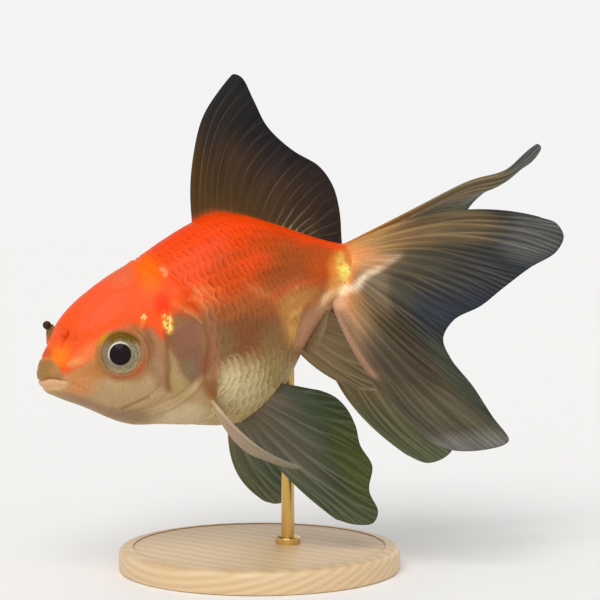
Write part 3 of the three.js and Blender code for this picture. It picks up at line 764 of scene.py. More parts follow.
    "fleckCore": {
        "colour": "#ffe684", "at": (24.1, 3.0), "size": (0.8, 1.7), "turn": -8, "grain": 0.42, "share": 0.3,
    },
    "fleckSmall": {"colour": "#ffd98c", "at": (20.3, 5.4), "size": (0.5, 0.5), "soft": 0.9, "grain": 0.36},
    "fleckTrail": {"colour": "#e89038", "width": 0.36, "amount": 0.6, "line": [
        (20.2, 5.1), (19.6, 4.2), (18.6, 3.4), (17.2, 3.0),
    ]},
    "nostrilRim": {"colour": "#cf5a24", "at": (7.2, 5.0), "size": (1.0, 0.8), "turn": 20, "amount": 0.4},
}

# Rings round the eye: distance from its axis, width, colour, the middle and reach of the arc, strength.
eyeRings = [
    (5.5, 0.8, "#9c6c46", -10, 80, 0.7), (4.3, 0.6, "#a0683c", 0, 360, 0.9),
    (4.4, 0.6, "#a07440", 163, 50, 0.8), (4.6, 0.5, "#d08c12", 126, 16, 0.9),
    (3.95, 0.4, "#6e5210", 70, 50, 0.9), (4.5, 0.6, "#ac6440", -100, 44, 0.8),
    (4.45, 0.5, "#b4542c", -58, 30, 0.7), (5.2, 0.2, "#84542e", 4, 46, 0.7),
]


def markingWeight(mark, x, z):
    amount = mark.get("amount", 1)
    if "outline" in mark:
        distance = np.abs(lineDistance(mark["outline"], x, z, closed=True)[0])
        inside = np.where(insideOf(mark["outline"], x, z), distance, -distance)
        return eased(0.5 + inside / mark["soft"]) * amount
    if "line" in mark:
        return bell(lineDistance(mark["line"], x, z)[0] / mark["width"]) * amount
    turn, soft = math.radians(mark.get("turn", 0)), mark.get("soft", 1)
    dx, dz = x - mark["at"][0], z - mark["at"][1]
    along = (dx * math.cos(turn) + dz * math.sin(turn)) / mark["size"][0]
    across = (dz * math.cos(turn) - dx * math.sin(turn)) / mark["size"][1]
    weight = eased((1 + soft / 2 - np.hypot(along, across)) / soft) * amount
    if "grain" in mark:
        x, z = x / mark["grain"], z / mark["grain"]
        flecks = lattice(x, z, 71) + 0.5 * lattice(2 * x, 2 * z, 72)
        weight = weight * eased((flecks + mark.get("share", 0.6) - 0.2) / 0.5)
    return weight


def bodyPaint(points):  # the colour of skin and scales at places on the body
    wander = {"far": 0.5, "size": 2.1, "calm": 0.8}  # of the markings' edges, calmer on the head
    px, pz = points[:, 0], points[:, 2]
    u, v = px / wander["size"], pz / wander["size"]
    far = wander["far"] * (1 - wander["calm"] * eased((31 - px) / 4))
    x = px + far * lattice(u, v, 11)
    z = pz + far * lattice(u + 20, v, 12)
    colour = np.tile(linear("#a8582a"), (len(points), 1))
    for mark in markings.values():
        colour = laid(colour, mark["colour"], markingWeight(mark, x, z))
    around = eyeDistance(points)
    turn = np.degrees(np.arctan2(pz - eyePlace["z"], px - eyePlace["x"]))
    for radius, width, tone, middle, reach, amount in eyeRings:
        apart = np.abs((turn - middle + 180) % 360 - 180)
        arc = eased((reach - apart) / 30 + 0.5)
        colour = laid(colour, tone, bell((around - radius) / width) * arc * amount)
    return colour


# Fins: each is a sheet between a root line and an edge line, with rays from the one to the other.
def finCurve(points, shares, byLength=False):  # a centripetal smooth curve at shares of its run
    padded = withEnds(points)
    if byLength:
        fine = np.linspace(0, 1, 201)
        shares = np.interp(shares, runShare(finCurve(points, fine)), fine)
    last = len(points) - 1
    i = np.clip(np.floor(shares * last).astype(int), 0, last - 1)
    f = (shares * last - i)[:, None]
    a, b, c, d = (padded[i + k] for k in range(4))
    before, between, after = (
        np.sqrt(np.linalg.norm(q - r, axis=1))[:, None] for q, r in ((b, a), (c, b), (d, c))
    )
    between = np.where(between < 1e-4, 1, between)
    before, after = (np.where(side < 1e-4, between, side) for side in (before, after))
    start = ((b - a) / before - (c - a) / (before + between) + (c - b) / between) * between
    end = ((c - b) / between - (d - b) / (between + after) + (d - c) / after) * between
    return b + f * (start + f * (3 * (c - b) - 2 * start - end + f * (2 * (b - c) + start + end)))


def runShare(path):  # how far along each point of a path is, as a share of its length
    run = np.concatenate([[0], np.cumsum(np.linalg.norm(np.diff(path, axis=0), axis=1))])
    return run / run[-1]


def finPoint(fin, u, v):  # u across the rays, v from the root to the edge
    place = finCurve(fin["root"], u) * (1 - v)[:, None] + finCurve(fin["edge"], u, byLength=True) * v[:, None]
    place = place + finCurve(fin["bow"], u) * (4 * v * (1 - v))[:, None]
    if "pinch" in fin:
        pinch = fin["pinch"]
        near = np.exp(-(((v - pinch["at"]) / pinch["spread"]) ** 2) - (u / pinch["share"]) ** 2)
        place = place + near[:, None] * np.array(pinch["by"])
    return place


def finNormal(fin, u, v):
    step = 2e-3
    across = finPoint(fin, np.minimum(u + step, 1), v) - finPoint(fin, np.maximum(u - step, 0), v)
    along = finPoint(fin, u, np.minimum(v + step, 1)) - finPoint(fin, u, np.maximum(v - step, 0))
    normal = np.cross(across, along)
    return normal / np.linalg.norm(normal, axis=1)[:, None]


def rayShare(fin, u, v):  # 1 along the middle of a ray, 0 on the film between; each ray forks twice
    place = u * fin["rays"] + fin["wander"] * lattice(u * fin["rays"] * 0.45, v * 2.6, 41) * eased(v / 0.7)
    aside = np.abs(place % 1 - 0.5)
    for start, length, opening in ((fin["fork"], 0.5, 0.25), (fin["fork"] + 0.3, 0.4, 0.125)):
        aside = np.abs(aside - opening * eased((v - start) / length))
    wide, narrow = fin["rayWidth"]  # at the root and at the edge, in ray spacings
    return bell(aside / (wide + (narrow - wide) * eased((v - 0.1) / 0.8)))


def rayStrength(fin, u, v):  # how clearly each ray shows along its length, 0 to 1
    place = np.floor(u * fin["rays"])
    shown = np.clip(0.5 + 0.8 * lattice(place * 1.37 + 0.5, v * 3.3, 43), 0, 1)
    if "calm" in fin:  # from one share across the fin to another, the rays fade away
        shown = shown * (1 - 0.75 * eased((u - fin["calm"][0]) / (fin["calm"][1] - fin["calm"][0])))
    return shown


def finPaint(fin, u, v, ray):
    du = u + 0.03 * lattice(u * 9, v * 4, 51)
    dv = v + 0.05 * lattice(u * 9 + 30, v * 4, 52) * eased(v / 0.2)
    tones = np.array([linear(tone) for _, tone in fin["stops"]])
    places = [place for place, _ in fin["stops"]]
    colour = np.stack([np.interp(dv, places, tones[:, k]) for k in range(3)], -1)
    for tone, where, size, amount, *onRays in fin["spots"]:
        if isinstance(where, list):
            weight = bell(lineDistance(where, u, v)[0] / size)
        else:
            weight = eased(1.5 - np.hypot((du - where[0]) / size[0], (dv - where[1]) / size[1]))
        colour = laid(colour, tone, weight * amount * (ray if onRays else 1))
    streaks = lattice(u * fin["rays"] * 1.7, v * 4, 21) + 0.6 * lattice(u * fin["rays"] * 5, v * 7, 22)
    strength = rayStrength(fin, u, v)
    film = (1 - ray) * fin["film"] * eased((v - 0.03) / 0.25) * (0.4 + 0.6 * strength)
    colour = colour * ((1 + fin["streak"] * eased(v / 0.3) * streaks) * (1 - film))[:, None]
    colour = laid(colour, fin["ray"], ray * (0.1 + 0.9 * strength) * straightThrough(v, fin["rayShow"]))
    beside = rayShare(fin, u + 0.16 / fin["rays"], v)  # light on one flank of a ray, shade on the other
    shine = fin["edgeLight"] * (ray - beside) * eased((v - 0.05) / 0.2) * (0.3 + 0.7 * strength)
    return colour * (1 + shine)[:, None]


def makeFin(name, fin):
    sheet = finished(flatSheet(name, *fin["mesh"]))
    flat = readVertices(sheet)
    u, v = np.clip((flat[:, :2] + 1) / 2, 0, 1).T
    ray = rayShare(fin, u, v)
    thick = straightThrough(v, fin["thick"]) * (0.62 + 0.38 * ray * (0.4 + 0.6 * rayStrength(fin, u, v)))
    thick += fin["stout"] * bell(u * fin["rays"] / 0.8) * (1 - 0.7 * v)  # the foremost ray is stouter
    thick *= np.sqrt(np.clip(np.minimum(u, 1 - u) * fin["rays"] / 0.35, 0.12, 1))  # thin at every edge
    thick *= np.sqrt(np.clip((1.0 - v) / 0.01, 0.3, 1))
    thick += fin["flare"] * bell(v / 0.045)  # thicker where it grows out of the body
    sway = fin["sway"] * v ** 1.5 * np.sin(math.tau * (u * fin["waves"] + 0.35 * v))
    sway += 0.4 * fin["sway"] * v ** 2 * lattice(u * fin["rays"] * 0.9, v * 2, 31)
    offset = sway + np.sign(flat[:, 2]) * thick / 2
    place = finPoint(fin, u, v) + finNormal(fin, u, v) * offset[:, None]
    movePoints(sheet, toModel(place))
    colour = finPaint(fin, u, v, ray)
    if "fromBody" in fin:
        colour = laid(colour, bodyPaint(place), bell(v / fin["fromBody"]))
    setPaint(sheet, colour, ray * eased((v - 0.1) / 0.2))
    bpy.ops.object.shade_smooth()
    handIn(sheet, materials["fin"], fin["slot"], *fin["replaces"])
    print("fin made:", name)


# Root, edge, bow and pinch are places and bends in millimetres, and thick, stout, flare and sway are
# millimetres too. Along a fin, thick, stops, rayShow, fork, fromBody and pinch read 0 at its root and 1 at
# its edge; across it, calm reads 0 at its foremost ray. Ray width and wander are in ray spacings. Spots are
# colour, place across and along, size and strength, and a list of places is a stroke with a width.
finCommon = {"rayWidth": (0.2, 0.07), "wander": 0.3}  # what most fins share
tailCommon = {
    "slot": "tail_fin", "rays": 20, "fork": 0.3, "mesh": (460, 92),
    "thick": [(0, 0.7), (0.2, 0.45), (1, 0.14)], "stout": 0.25, "flare": 0.7, "waves": 2.5, "wander": 0.5,
}
pelvicCommon = {
    "slot": "dark_fin", "rays": 9, "fork": 0.36, "mesh": (230, 80),
    "thick": [(0, 0.9), (0.3, 0.6), (1, 0.16)], "stout": 0.3, "flare": 0.5, "sway": 0.45, "waves": 2.2,
    "streak": 0.1, "film": 0.2, "wander": 0.45, "edgeLight": 0.22,
}
pectoralCommon = {
    "slot": "pale_fin", "rays": 12, "fork": 0.45, "mesh": (150, 70), "flare": 0.3, "waves": 1.5,
    "streak": 0.08, "film": 0.14, "edgeLight": 0.2,
    "stops": [(0, "#c09274"), (0.15, "#bd9f88"), (0.6, "#a89a86"), (1, "#8a8a78")],
    "ray": "#ccb49c", "rayShow": [(0, 0.2), (0.3, 0.4), (1, 0.2)],
    "spots": [],
}
analCommon = {"flare": 0.4, "waves": 1.2}
fins = {
    "dorsalFin": {
        **finCommon,
        "slot": "dark_fin", "replaces": ["dorsal_fin"],
        "root": [
            (37.4, 0, 18), (42.4, 0, 18.3), (47.6, 0, 16.2), (52.8, 0, 13), (57.4, 0, 10), (61, 0, 7.2),
        ],
        "edge": [
            (52.7, 0.6, 43.2), (54.3, 0.6, 43.9), (55.8, 0.6, 42.8), (56.9, 0.5, 37.9), (58.1, 0.3, 32),
            (61.5, 0, 26.3), (65.9, -0.3, 21.5), (67.6, -0.4, 16.6), (67.5, -0.3, 11.3), (66.2, 0, 4.8),
        ],
        "bow": [(-2.5, 0.5, 1.6), (-2.8, 0.4, 1.4), (-1.6, 0.2, 0.8), (-0.4, 0, 0.4), (0, 0, -0.4)],
        "pinch": {"at": 0.72, "spread": 0.2, "share": 0.35, "by": (-0.5, 0, 0.3)}, "rays": 20,
        "rayWidth": (0.12, 0.07), "fork": 0.7, "mesh": (360, 100),
        "thick": [(0, 0.75), (0.2, 0.5), (1, 0.16)], "stout": 0.35, "flare": 0.9, "sway": 0.25, "waves": 1.5,
        "fromBody": 0.035, "streak": 0.16, "film": 0.22, "edgeLight": 0.25,
        "stops": [
            (0, "#c2501a"), (0.035, "#6b4316"), (0.09, "#523a1a"), (0.3, "#48341e"), (0.6, "#402e20"),
            (0.85, "#2a2120"), (1, "#1e1b1d"),
        ],
        "ray": "#665244", "rayShow": [(0, 0.1), (0.1, 0.26), (0.5, 0.3), (0.8, 0.16), (1, 0.04)],
        "spots": [
            ("#201e20", (0.1, 1.0), (0.3, 0.3), 0.75),
            ("#2b2c2a", (0.05, 0.75), (0.12, 0.3), 0.6),
            ("#523a1a", (0, 0.2), (0.14, 0.3), 0.7),
            ("#34261f", (1, 0.9), (0.35, 0.7), 0.8),
            ("#413624", (0.8, 0.2), (0.24, 0.24), 0.7),
            # these two spots on the rays near the rear of the root are painted highlights on the rays
            ("#d8c898", (0.75, 0.06), (0.09, 0.07), 0.6, "onRays"),
            ("#8a7c60", (0.76, 0.2), (0.14, 0.16), 0.4, "onRays"),
        ],
    },
    "tailHalfLeft": {
        **finCommon, **tailCommon,
        "replaces": ["tail_fin_left_upper", "tail_fin_left_lower"],
        "root": [(65.5, -0.9, 4.6), (65.5, -1.8, 2), (63.5, -2, -1), (60, -1.4, -3.4)],
        "edge": [
            (104, -12.5, -0.4), (106.8, -13.5, -2.8), (107.4, -14, -5.8), (104.8, -14.5, -8.1),
            (97.8, -15.5, -9.2), (90.8, -16.5, -11.1), (84.3, -17, -13.1), (78.2, -17, -13.8),
            (74.7, -17.5, -16.5), (74.7, -18.5, -21), (77.1, -20, -27), (78.8, -21, -33), (80.5, -22, -39),
            (79.3, -22, -39.7), (74.5, -21.5, -39.2), (70, -20.5, -37.8), (66, -19.5, -35.1),
        ],
        "bow": [(1.5, 1.2, 3.6), (0.5, 0, 2), (-1, -1, 0), (-3.6, -1.6, 0.4)],
        "sway": 0.35, "fromBody": 0.06, "streak": 0.26, "film": 0.3, "edgeLight": 0.3, "calm": (0.62, 0.8),
        "stops": [
            (0, "#f6a050"), (0.05, "#ee8f4c"), (0.1, "#c88650"), (0.18, "#94744c"), (0.3, "#65543c"),
            (0.5, "#463f30"), (0.75, "#36352f"), (1, "#303338"),
        ],
        "ray": "#8f7850",
        "rayShow": [(0, 0.15), (0.1, 0.34), (0.3, 0.32), (0.5, 0.2), (0.8, 0.12), (1, 0.05)],
        "spots": [
            ("#c09056", (0.1, 0.12), (0.2, 0.18), 0.85),
            ("#82725a", (0.54, 0.3), (0.11, 0.13), 0.7),
            ("#846440", (0.12, 0.34), (0.1, 0.16), 0.8),
            ("#b88e68", (0.34, 0.2), (0.06, 0.1), 0.8),
            ("#ee9a5c", (0.3, 0.07), (0.16, 0.09), 0.7),
            ("#cc9460", (0.38, 0.19), (0.08, 0.1), 0.7),
            ("#d0966a", (0.93, 0.17), (0.07, 0.12), 0.8),
            ("#35393d", (0.24, 1.0), (0.32, 0.3), 0.75),
            ("#5d5e5b", (0.1, 0.88), (0.08, 0.16), 0.8),
            ("#202630", (0.46, 1.0), (0.14, 0.3), 0.9),
            ("#8c6e50", (0.96, 0.28), (0.1, 0.22), 0.85),
            ("#5c4e3a", (0.8, 0.6), (0.2, 0.26), 0.8),
            ("#585340", (0.9, 0.85), (0.16, 0.2), 0.8),
            ("#74706a", (0.9, 1.0), (0.1, 0.1), 0.9),
            ("#434c3c", (0.66, 0.9), (0.12, 0.24), 0.8),
            ("#e8b690", (0.92, 0.02), (0.2, 0.07), 0.9),
            ("#ffe08a", (0.5, 0.0), (0.34, 0.05), 0.9),
            ("#a98064", [(1.0, 0.0), (0.99, 0.26), (0.98, 0.5)], 0.034, 0.7),
            ("#f6dfc0", [
                (0.92, -0.02), (0.77, 0.03), (0.67, 0.085), (0.56, 0.15), (0.48, 0.2), (0.41, 0.25),
            ], 0.028, 0.9),
            ("#c8a888", [(0.46, 0.22), (0.36, 0.28), (0.29, 0.32)], 0.028, 0.6),
            ("#3e3729", (0.8, 0.46), (0.13, 0.17), 0.7),
            ("#34342f", (0.6, 0.6), (0.08, 0.15), 0.6),
            ("#7c6848", (0.08, 0.54), (0.1, 0.15), 0.7),
        ],
    },
    "tailHalfRight": {
        **finCommon, **tailCommon,
        "replaces": ["tail_fin_right_upper", "tail_fin_right_lower"],
        "root": [(65.5, 0.9, 4.6), (65.5, 1.8, 2), (63.5, 2, -1), (60, 1.4, -3.4)],
        "edge": [
            (112.6, 2, 11.5), (115.3, 3, 12), (116.3, 3.6, 10.8), (114, 5, 8.3), (110, 7.5, 6.8),
            (105.6, 10, 5), (101, 13, 2.2), (96, 15.5, -4.5), (91, 17.2, -12), (88, 18, -18),
            (87.6, 18.6, -26), (88, 19, -36.4), (86.4, 18.6, -43.6), (84, 18, -48), (78.4, 17, -48.5),
            (73.2, 16, -44.6),
        ],
        "bow": [(0.2, 0, -0.3), (0, 2.4, 0.8), (0, 4, 0.4), (-5.2, 4.2, 0.1)],
        "pinch": {"at": 0.82, "spread": 0.12, "share": 0.3, "by": (0.5, 0, -1.8)}, "sway": 0.3,
        "fromBody": 0.04, "streak": 0.22, "film": 0.28, "edgeLight": 0.25,
        "stops": [
            (0, "#ee9048"), (0.07, "#c08a54"), (0.16, "#96764c"), (0.4, "#7c6a4a"), (0.7, "#68634a"),
            (1, "#606350"),
        ],
        "ray": "#9a8058", "rayShow": [(0, 0.2), (0.15, 0.4), (0.5, 0.2), (0.85, 0.1), (1, 0.05)],
        "spots": [
            ("#d08a3a", (0.0, 0.25), (0.2, 0.2), 0.8),
            ("#8a7658", (0.0, 0.6), (0.16, 0.3), 0.8),
            ("#545a58", (0.05, 0.95), (0.16, 0.16), 0.9),
            ("#747a58", (0.9, 0.85), (0.3, 0.4), 0.9),
            ("#98815c", (0.85, 0.35), (0.3, 0.3), 0.8),
        ],
    },
    "pelvicFinLeft": {
        **finCommon, **pelvicCommon,
        "replaces": ["pelvic_fin_left"],
        "root": [(34.4, -3, -20), (36.6, -5, -18.6), (39.8, -6.2, -17.2), (43, -5.8, -15.8)],
        "edge": [
            (45, -12, -44.5), (48, -13, -46.4), (51.4, -13.7, -47.2), (53, -14, -45.4), (52.8, -13.5, -41),
            (54.8, -13.5, -36.6), (53.5, -13, -31.7), (53.8, -12.5, -28), (53.6, -11.5, -24.2),
            (52.6, -10, -21.3), (50.6, -8.5, -19.6), (47.6, -7, -18.8),
        ],
        "bow": [(-1.3, -0.6, -0.7), (0, -1.6, 0), (0, -1.4, 0.2)],
        "stops": [(0, "#75604c"), (0.2, "#625a4a"), (0.4, "#4c5040"), (0.65, "#3f4630"), (1, "#434a2a")],
        "ray": "#6f7462", "rayShow": [(0, 0.0), (0.25, 0.05), (0.45, 0.42), (0.7, 0.2), (1, 0.04)],
        "spots": [
            ("#66604f", (0.1, 0.25), (0.4, 0.35), 0.7),
            ("#474f24", (0.5, 0.9), (0.34, 0.24), 0.8),
            ("#343c24", (0.88, 0.75), (0.25, 0.5), 0.8),
            ("#3c4030", (0.9, 0.3), (0.2, 0.3), 0.6),
            ("#535944", (0.0, 0.9), (0.2, 0.4), 0.8),
        ],
    },
    "pelvicFinRight": {
        **finCommon, **pelvicCommon,
        "replaces": ["pelvic_fin_right"],
        "root": [(34.4, 3, -20.4), (36.6, 5, -19), (39.8, 6.2, -17.6), (43, 5.8, -16.2)],
        "edge": [
            (39.5, 15, -42.5), (42, 16, -44.5), (45.5, 17, -44.5), (47.5, 17.5, -42.5), (49, 17.5, -38.5),
            (50.5, 17, -34.5), (51.5, 16, -30.5), (50.5, 14, -26), (47.5, 10, -21),
        ],
        "bow": [(-2.6, 1.6, -1.4), (0, 1.6, 0), (0, 1.4, 0.4)],
        "stops": [(0, "#86705c"), (0.2, "#8a8468"), (0.4, "#7b7f68"), (0.65, "#717a60"), (1, "#727a60")],
        "ray": "#7f8570", "rayShow": [(0, 0.0), (0.22, 0.1), (0.42, 0.4), (0.75, 0.2), (1, 0.05)],
        "spots": [
            ("#3d5638", (0.4, 0.85), (0.2, 0.2), 0.6),
        ],
    },
    "pectoralFinLeft": {
        **finCommon, **pectoralCommon,
        "replaces": ["pectoral_fin_left"],
        "root": [(28, -8.6, -12.4), (28.6, -8, -14), (29.2, -7, -15.6)],
        "edge": [
            (37.6, -20, -29), (39, -18.6, -30.5), (39.2, -16.8, -31.1), (38.3, -14.6, -30.6),
            (36, -12.4, -28.8),
        ],
        "bow": [(-1.3, -1, -1.7), (-1.5, -0.6, -2), (-1.7, -0.4, -2.2)],
        "thick": [(0, 0.8), (0.3, 0.6), (1, 0.2)], "stout": 0.2, "sway": 0.15, "fromBody": 0.16,
    },
    "pectoralFinRight": {
        **finCommon, **pectoralCommon,
        "replaces": ["pectoral_fin_right"],
        "root": [(27.4, 8.4, -13.4), (28, 7.8, -14.8), (28.4, 7, -16.2)],
        "edge": [
            (37, 22.5, -12.8), (40.6, 22.6, -14), (43, 21, -15.6), (43.4, 18.6, -17.4), (42, 16.4, -18.8),
        ],
        "bow": [(-1, 0.6, 1.4), (-0.6, 0.6, 1.2), (0, 0.8, 1)],
        "thick": [(0, 1.1), (0.3, 0.6), (1, 0.2)], "stout": 0.3, "sway": 0.2,
    },
    "analFinLeft": {
        **finCommon, **analCommon,
        "slot": "pale_fin", "replaces": ["anal_fin_left"],
        "root": [(50.6, -1.4, -11.2), (54.4, -1.6, -8.4), (57.8, -1.6, -5.8)],
        "edge": [
            (51.6, -4.2, -13.2), (53.6, -5, -12.2), (55.6, -4.8, -10.2), (57.2, -4.2, -8),
            (58.4, -3.2, -6.2),
        ],
        "bow": [(0, -0.5, 0), (0, -0.6, 0), (0, -0.4, 0)],
        "rays": 6, "fork": 0.8, "mesh": (120, 50), "thick": [(0, 0.7), (0.3, 0.4), (1, 0.18)], "stout": 0.1,
        "sway": 0.1, "fromBody": 0.1, "streak": 0.08, "film": 0.1, "edgeLight": 0.1,
        "stops": [(0, "#bc8a66"), (0.15, "#a07e5a"), (0.45, "#886f4e"), (1, "#7e6a4a")],
        "ray": "#8a745a", "rayShow": [(0, 0.1), (0.3, 0.2), (1, 0.1)],
        "spots": [],
    },
    "analFinRight": {
        **finCommon, **analCommon,
        "slot": "tail_fin", "replaces": ["anal_fin_right"],
        "root": [(50.6, 1.4, -11.2), (54.4, 1.6, -8.4), (57.8, 1.6, -5.8)],
        "edge": [
            (62.4, 6.6, -25), (67, 7.2, -27), (70.4, 7, -26), (71.6, 6, -21.5), (69.6, 4.4, -15),
            (64.4, 2.8, -9.6),
        ],
        "bow": [(-0.6, 0.8, -0.8), (0, 0.4, 0), (0, 0, 0)],
        "rays": 8, "fork": 0.4, "mesh": (150, 60), "thick": [(0, 0.8), (0.3, 0.5), (1, 0.18)], "stout": 0.35,
        "sway": 0.2, "fromBody": 0.06, "streak": 0.12, "film": 0.15, "wander": 0.4, "edgeLight": 0.3,
        "stops": [(0, "#c49062"), (0.12, "#b09068"), (0.4, "#a89068"), (1, "#84785a")],
        "ray": "#9c8a68", "rayShow": [(0, 0.2), (0.3, 0.3), (1, 0.15)],
        "spots": [
            ("#a8987e", (0.0, 1.0), (0.5, 0.05), 0.8),
        ],
    },
}

for name, fin in fins.items():
    makeFin(name, fin)

# The raised flap between the two openings of each nostril: a small leaf with a knob at its tip
flap = {
    "root": [(4, 3, 3.2), (5.2, 3.5, 4.8), (6.4, 3.8, 6)],
    "edge": [(3.9, 4.6, 4.6), (4.9, 5.2, 7.3), (6.2, 5, 7.7)],
    "bow": [(0, 0.2, 0), (0, 0.2, 0), (0, 0.2, 0)],
    "tip": (5.1, 5.4, 7.8),
    "tipRadius": 0.84,
    "thick": 0.62,
    "fold": {"left": (0.8, -0.9, -1.1), "right": (0, 0, 0)},  # the left flap lies flatter
    "mesh": (16, 12),
    "voxel": 0.1,
    "patch": (0.05, 0.045),  # size and places on the unwrapped skin
    "patchAt": {"left": (0.01, 0.005), "right": (0.08, 0.005)},
    "left": {"root": "#f4581f", "stem": "#f25a24", "tip": "#ec5420"},
    "right": {"root": "#c8682c", "stem": "#80602a", "tip": "#38271a"},
}


def makeFlap(side):
    mirror = (1, -1 if side == "left" else 1, 1)
    leaf = {key: np.array(flap[key]) * mirror for key in ("root", "bow")}
    leaf["edge"] = (np.array(flap["edge"]) + flap["fold"][side]) * mirror
    tip = toModel((np.array(flap["tip"]) + flap["fold"][side]) * mirror)
    sheet = finished(flatSheet("flap" + side.title(), *flap["mesh"]))
    flat = readVertices(sheet)
    u, v = np.clip((flat[:, :2] + 1) / 2, 0, 1).T
    offset = np.sign(flat[:, 2]) * flap["thick"] / 2
    movePoints(sheet, toModel(finPoint(leaf, u, v) + finNormal(leaf, u, v) * offset[:, None]))
    knob = addBall("knob", 24, 16, flap["tipRadius"] * mm, tip)
    selectOnly(knob, sheet)
    bpy.ops.object.join()
    modified(sheet, "REMESH", mode="VOXEL", voxel_size=flap["voxel"] * mm)
    modified(sheet, "SMOOTH", iterations=6)
    finished(sheet)
    places = readVertices(sheet)
    toTip = np.linalg.norm(places - tip, axis=1) / mm
    tones = flap[side]
    colour = np.tile(linear(tones["root"]), (len(places), 1))
    colour = laid(colour, tones["stem"], eased((3.6 - toTip) / 2.0))
    setPaint(sheet, laid(colour, tones["tip"], eased((1.5 - toTip) / 0.8)))
    low, high = places.min(0), places.max(0)
    fromSide = ((places - low) / (high - low))[:, [0, 2]]
    addMap(sheet, "OFBake", fromSide * flap["patch"] + flap["patchAt"][side])
    return sheet


# The skin, whole from the lips to the tail root, with the flaps joined to it
def makeSkin():
    skin = addBall("skin", body["around"], body["rings"])
    ball = readVertices(skin)
    ring = np.arccos(np.clip(ball[:, 2], -1, 1)) / math.pi
    angle = np.arctan2(ball[:, 1], ball[:, 0])
    angle = angle + body["sides"] * np.sin(2 * angle)
    plain = bodyPoint(np.interp(ring, ringShares, stationShares), angle)
    movePoints(skin, plain)
    height = bodyRelief(plain) - body["coat"] * coatShare(plain[:, 0], plain[:, 2])
    raised = plain + readVertices(skin, "normal") * height[:, None]
    movePoints(skin, toModel(raised))
    setPaint(skin, bodyPaint(raised))
    layer = skin.data.uv_layers[0]
    layer.name = "OFBake"
    uv = np.empty(len(layer.data) * 2)
    layer.data.foreach_get("uv", uv)
    uv = uv.reshape(-1, 2) * (1, 1 - body["flapStrip"]) + (0, body["flapStrip"])
    layer.data.foreach_set("uv", uv.ravel())
    selectOnly(makeFlap("left"), makeFlap("right"), skin)
    bpy.ops.object.join()
    bpy.ops.object.shade_smooth()
    handIn(
        skin, materials["skin"], "skin", "head", "lower_jaw", "gill_cover_left", "gill_cover_right", "trunk",
        "tail_stalk", "nostril_flap_left", "nostril_flap_right",
    )
    print("skin made:", len(skin.data.polygons), "faces")


makeSkin()

# Scales: one flat plate, repeated in rows and columns and then laid on the body
coat = {
    "columns": 36,  # scales in a row from gill to tail root
    "rows": 38,  # rows right round the body
    "plate": (6, 4),  # faces across and along one scale
    "spacing": 4.0,  # of the flat plates before they are laid on the body
    "frontAt": [(0, 24.2), (0.25, 27.5), (0.45, 29.6), (0.62, 28.2), (0.8, 23.6), (1, 18.6)],
    "pitch": [(0, 1.3), (0.45, 1.25), (0.75, 1.42), (1, 1.58)],  # between scales of a row, back to keel
    "lastAt": 67.6,  # the last scales, by distance from the snout
    "shrink": 0.00264,  # how much closer they stand towards the tail
    "rootAt": -1.6,  # where a scale starts and ends, in scale spacings
    "tipAt": 1.0,
    "roundness": 1.1,  # of the free edge
    "bunched": 1.7,  # how much closer the cross lines run at the free edge
    "swing": 0.97,  # how far round the plate is swept, as a share of a half circle
    "halfWidth": 0.98,  # in row spacings
    "rootWidth": 0.7,  # of a scale at its root, as a share of its full width
    "sink": 0.2,  # millimetres under the plain body at the root
    "lift": 0.18,  # rise from root to free edge
    "thick": 0.035,
    "crown": 0.02,
    "tucked": 0.26,  # how deep the first scales start under the skin of head and gill cover
    "tuckRun": 1.4,  # how far back from the head they come up to their full height
    "underFront": 0.3,  # how far under the head the middle of a scale may still lie
    "loose": 0.05,  # how far a scale stands off its place, in spacings
    # on the back, and what the belly adds: how much of one colour a scale has, how much it is lighter or
    # darker than its neighbours, and how dark its pocket is, partly pigment and partly painted shadow
    "ownTone": (0.25, 0.3),
    "toneSpread": (0.04, 0.05),
    "pocket": (0.16, 0.46),
    "pocketSpread": 0.1,  # how much pockets differ from each other
    # what a band along the side adds to the pockets' pigment and painted shadow, from back to keel
    "pocketShow": [(0.06, 0), (0.14, 0.45), (0.34, 0.55), (0.44, 0.3), (0.52, 0.2), (0.6, 0)],
    "patch": 0.003,  # size of a scale's patch on the unwrapped skin
    "seed": 7,
}
surface = {"along": 260, "around": 361, "columns": 193}  # points of the table that the scales are laid by


def surfaceTable():  # places and normals of the plain body by station and by share of the way round
    t = np.linspace(0.02, 0.995, surface["along"])
    angle = np.linspace(0, -math.tau, surface["around"])  # from the back down the left side
    shares = np.linspace(0, 1, surface["columns"])
    places = np.empty((len(t), surface["columns"], 3))
    for i, each in enumerate(t):
        ring = bodyPoint(np.full(len(angle), each), angle)
        for axis in range(3):
            places[i, :, axis] = np.interp(shares, runShare(ring), ring[:, axis])
    around = np.gradient(places, axis=1)
    around[:, 0] = around[:, -1] = places[:, 1] - places[:, -2]
    normals = np.cross(around, np.gradient(places, axis=0))
    normals /= np.linalg.norm(normals, axis=2)[:, :, None]
    folds = bodyRelief(places.reshape(-1, 3)).reshape(len(t), -1, 1)
    return t, station(t, 0), places + normals * folds, normals


def onBody(table, x, share):  # place and normal at a distance from the snout and a share of the way round
    t, alongX, places, normals = table
    row = np.interp(x, alongX, np.arange(len(t)))
    column = (share % 1) * (surface["columns"] - 1)
    i = np.clip(row.astype(int), 0, len(t) - 2)
    j = np.clip(column.astype(int), 0, surface["columns"] - 2)
    f, g = (row - i)[:, None], (column - j)[:, None]
    found = []
    for grid in (places, normals):
        near, far = (grid[i, j + k] * (1 - f) + grid[i + 1, j + k] * f for k in (0, 1))
        found.append(near * (1 - g) + far * g)
    return found


def fromBack(share):  # 0 on the back and 1 on the keel, by the share of the way round
    return 1 - np.abs(1 - 2 * (share % 1))


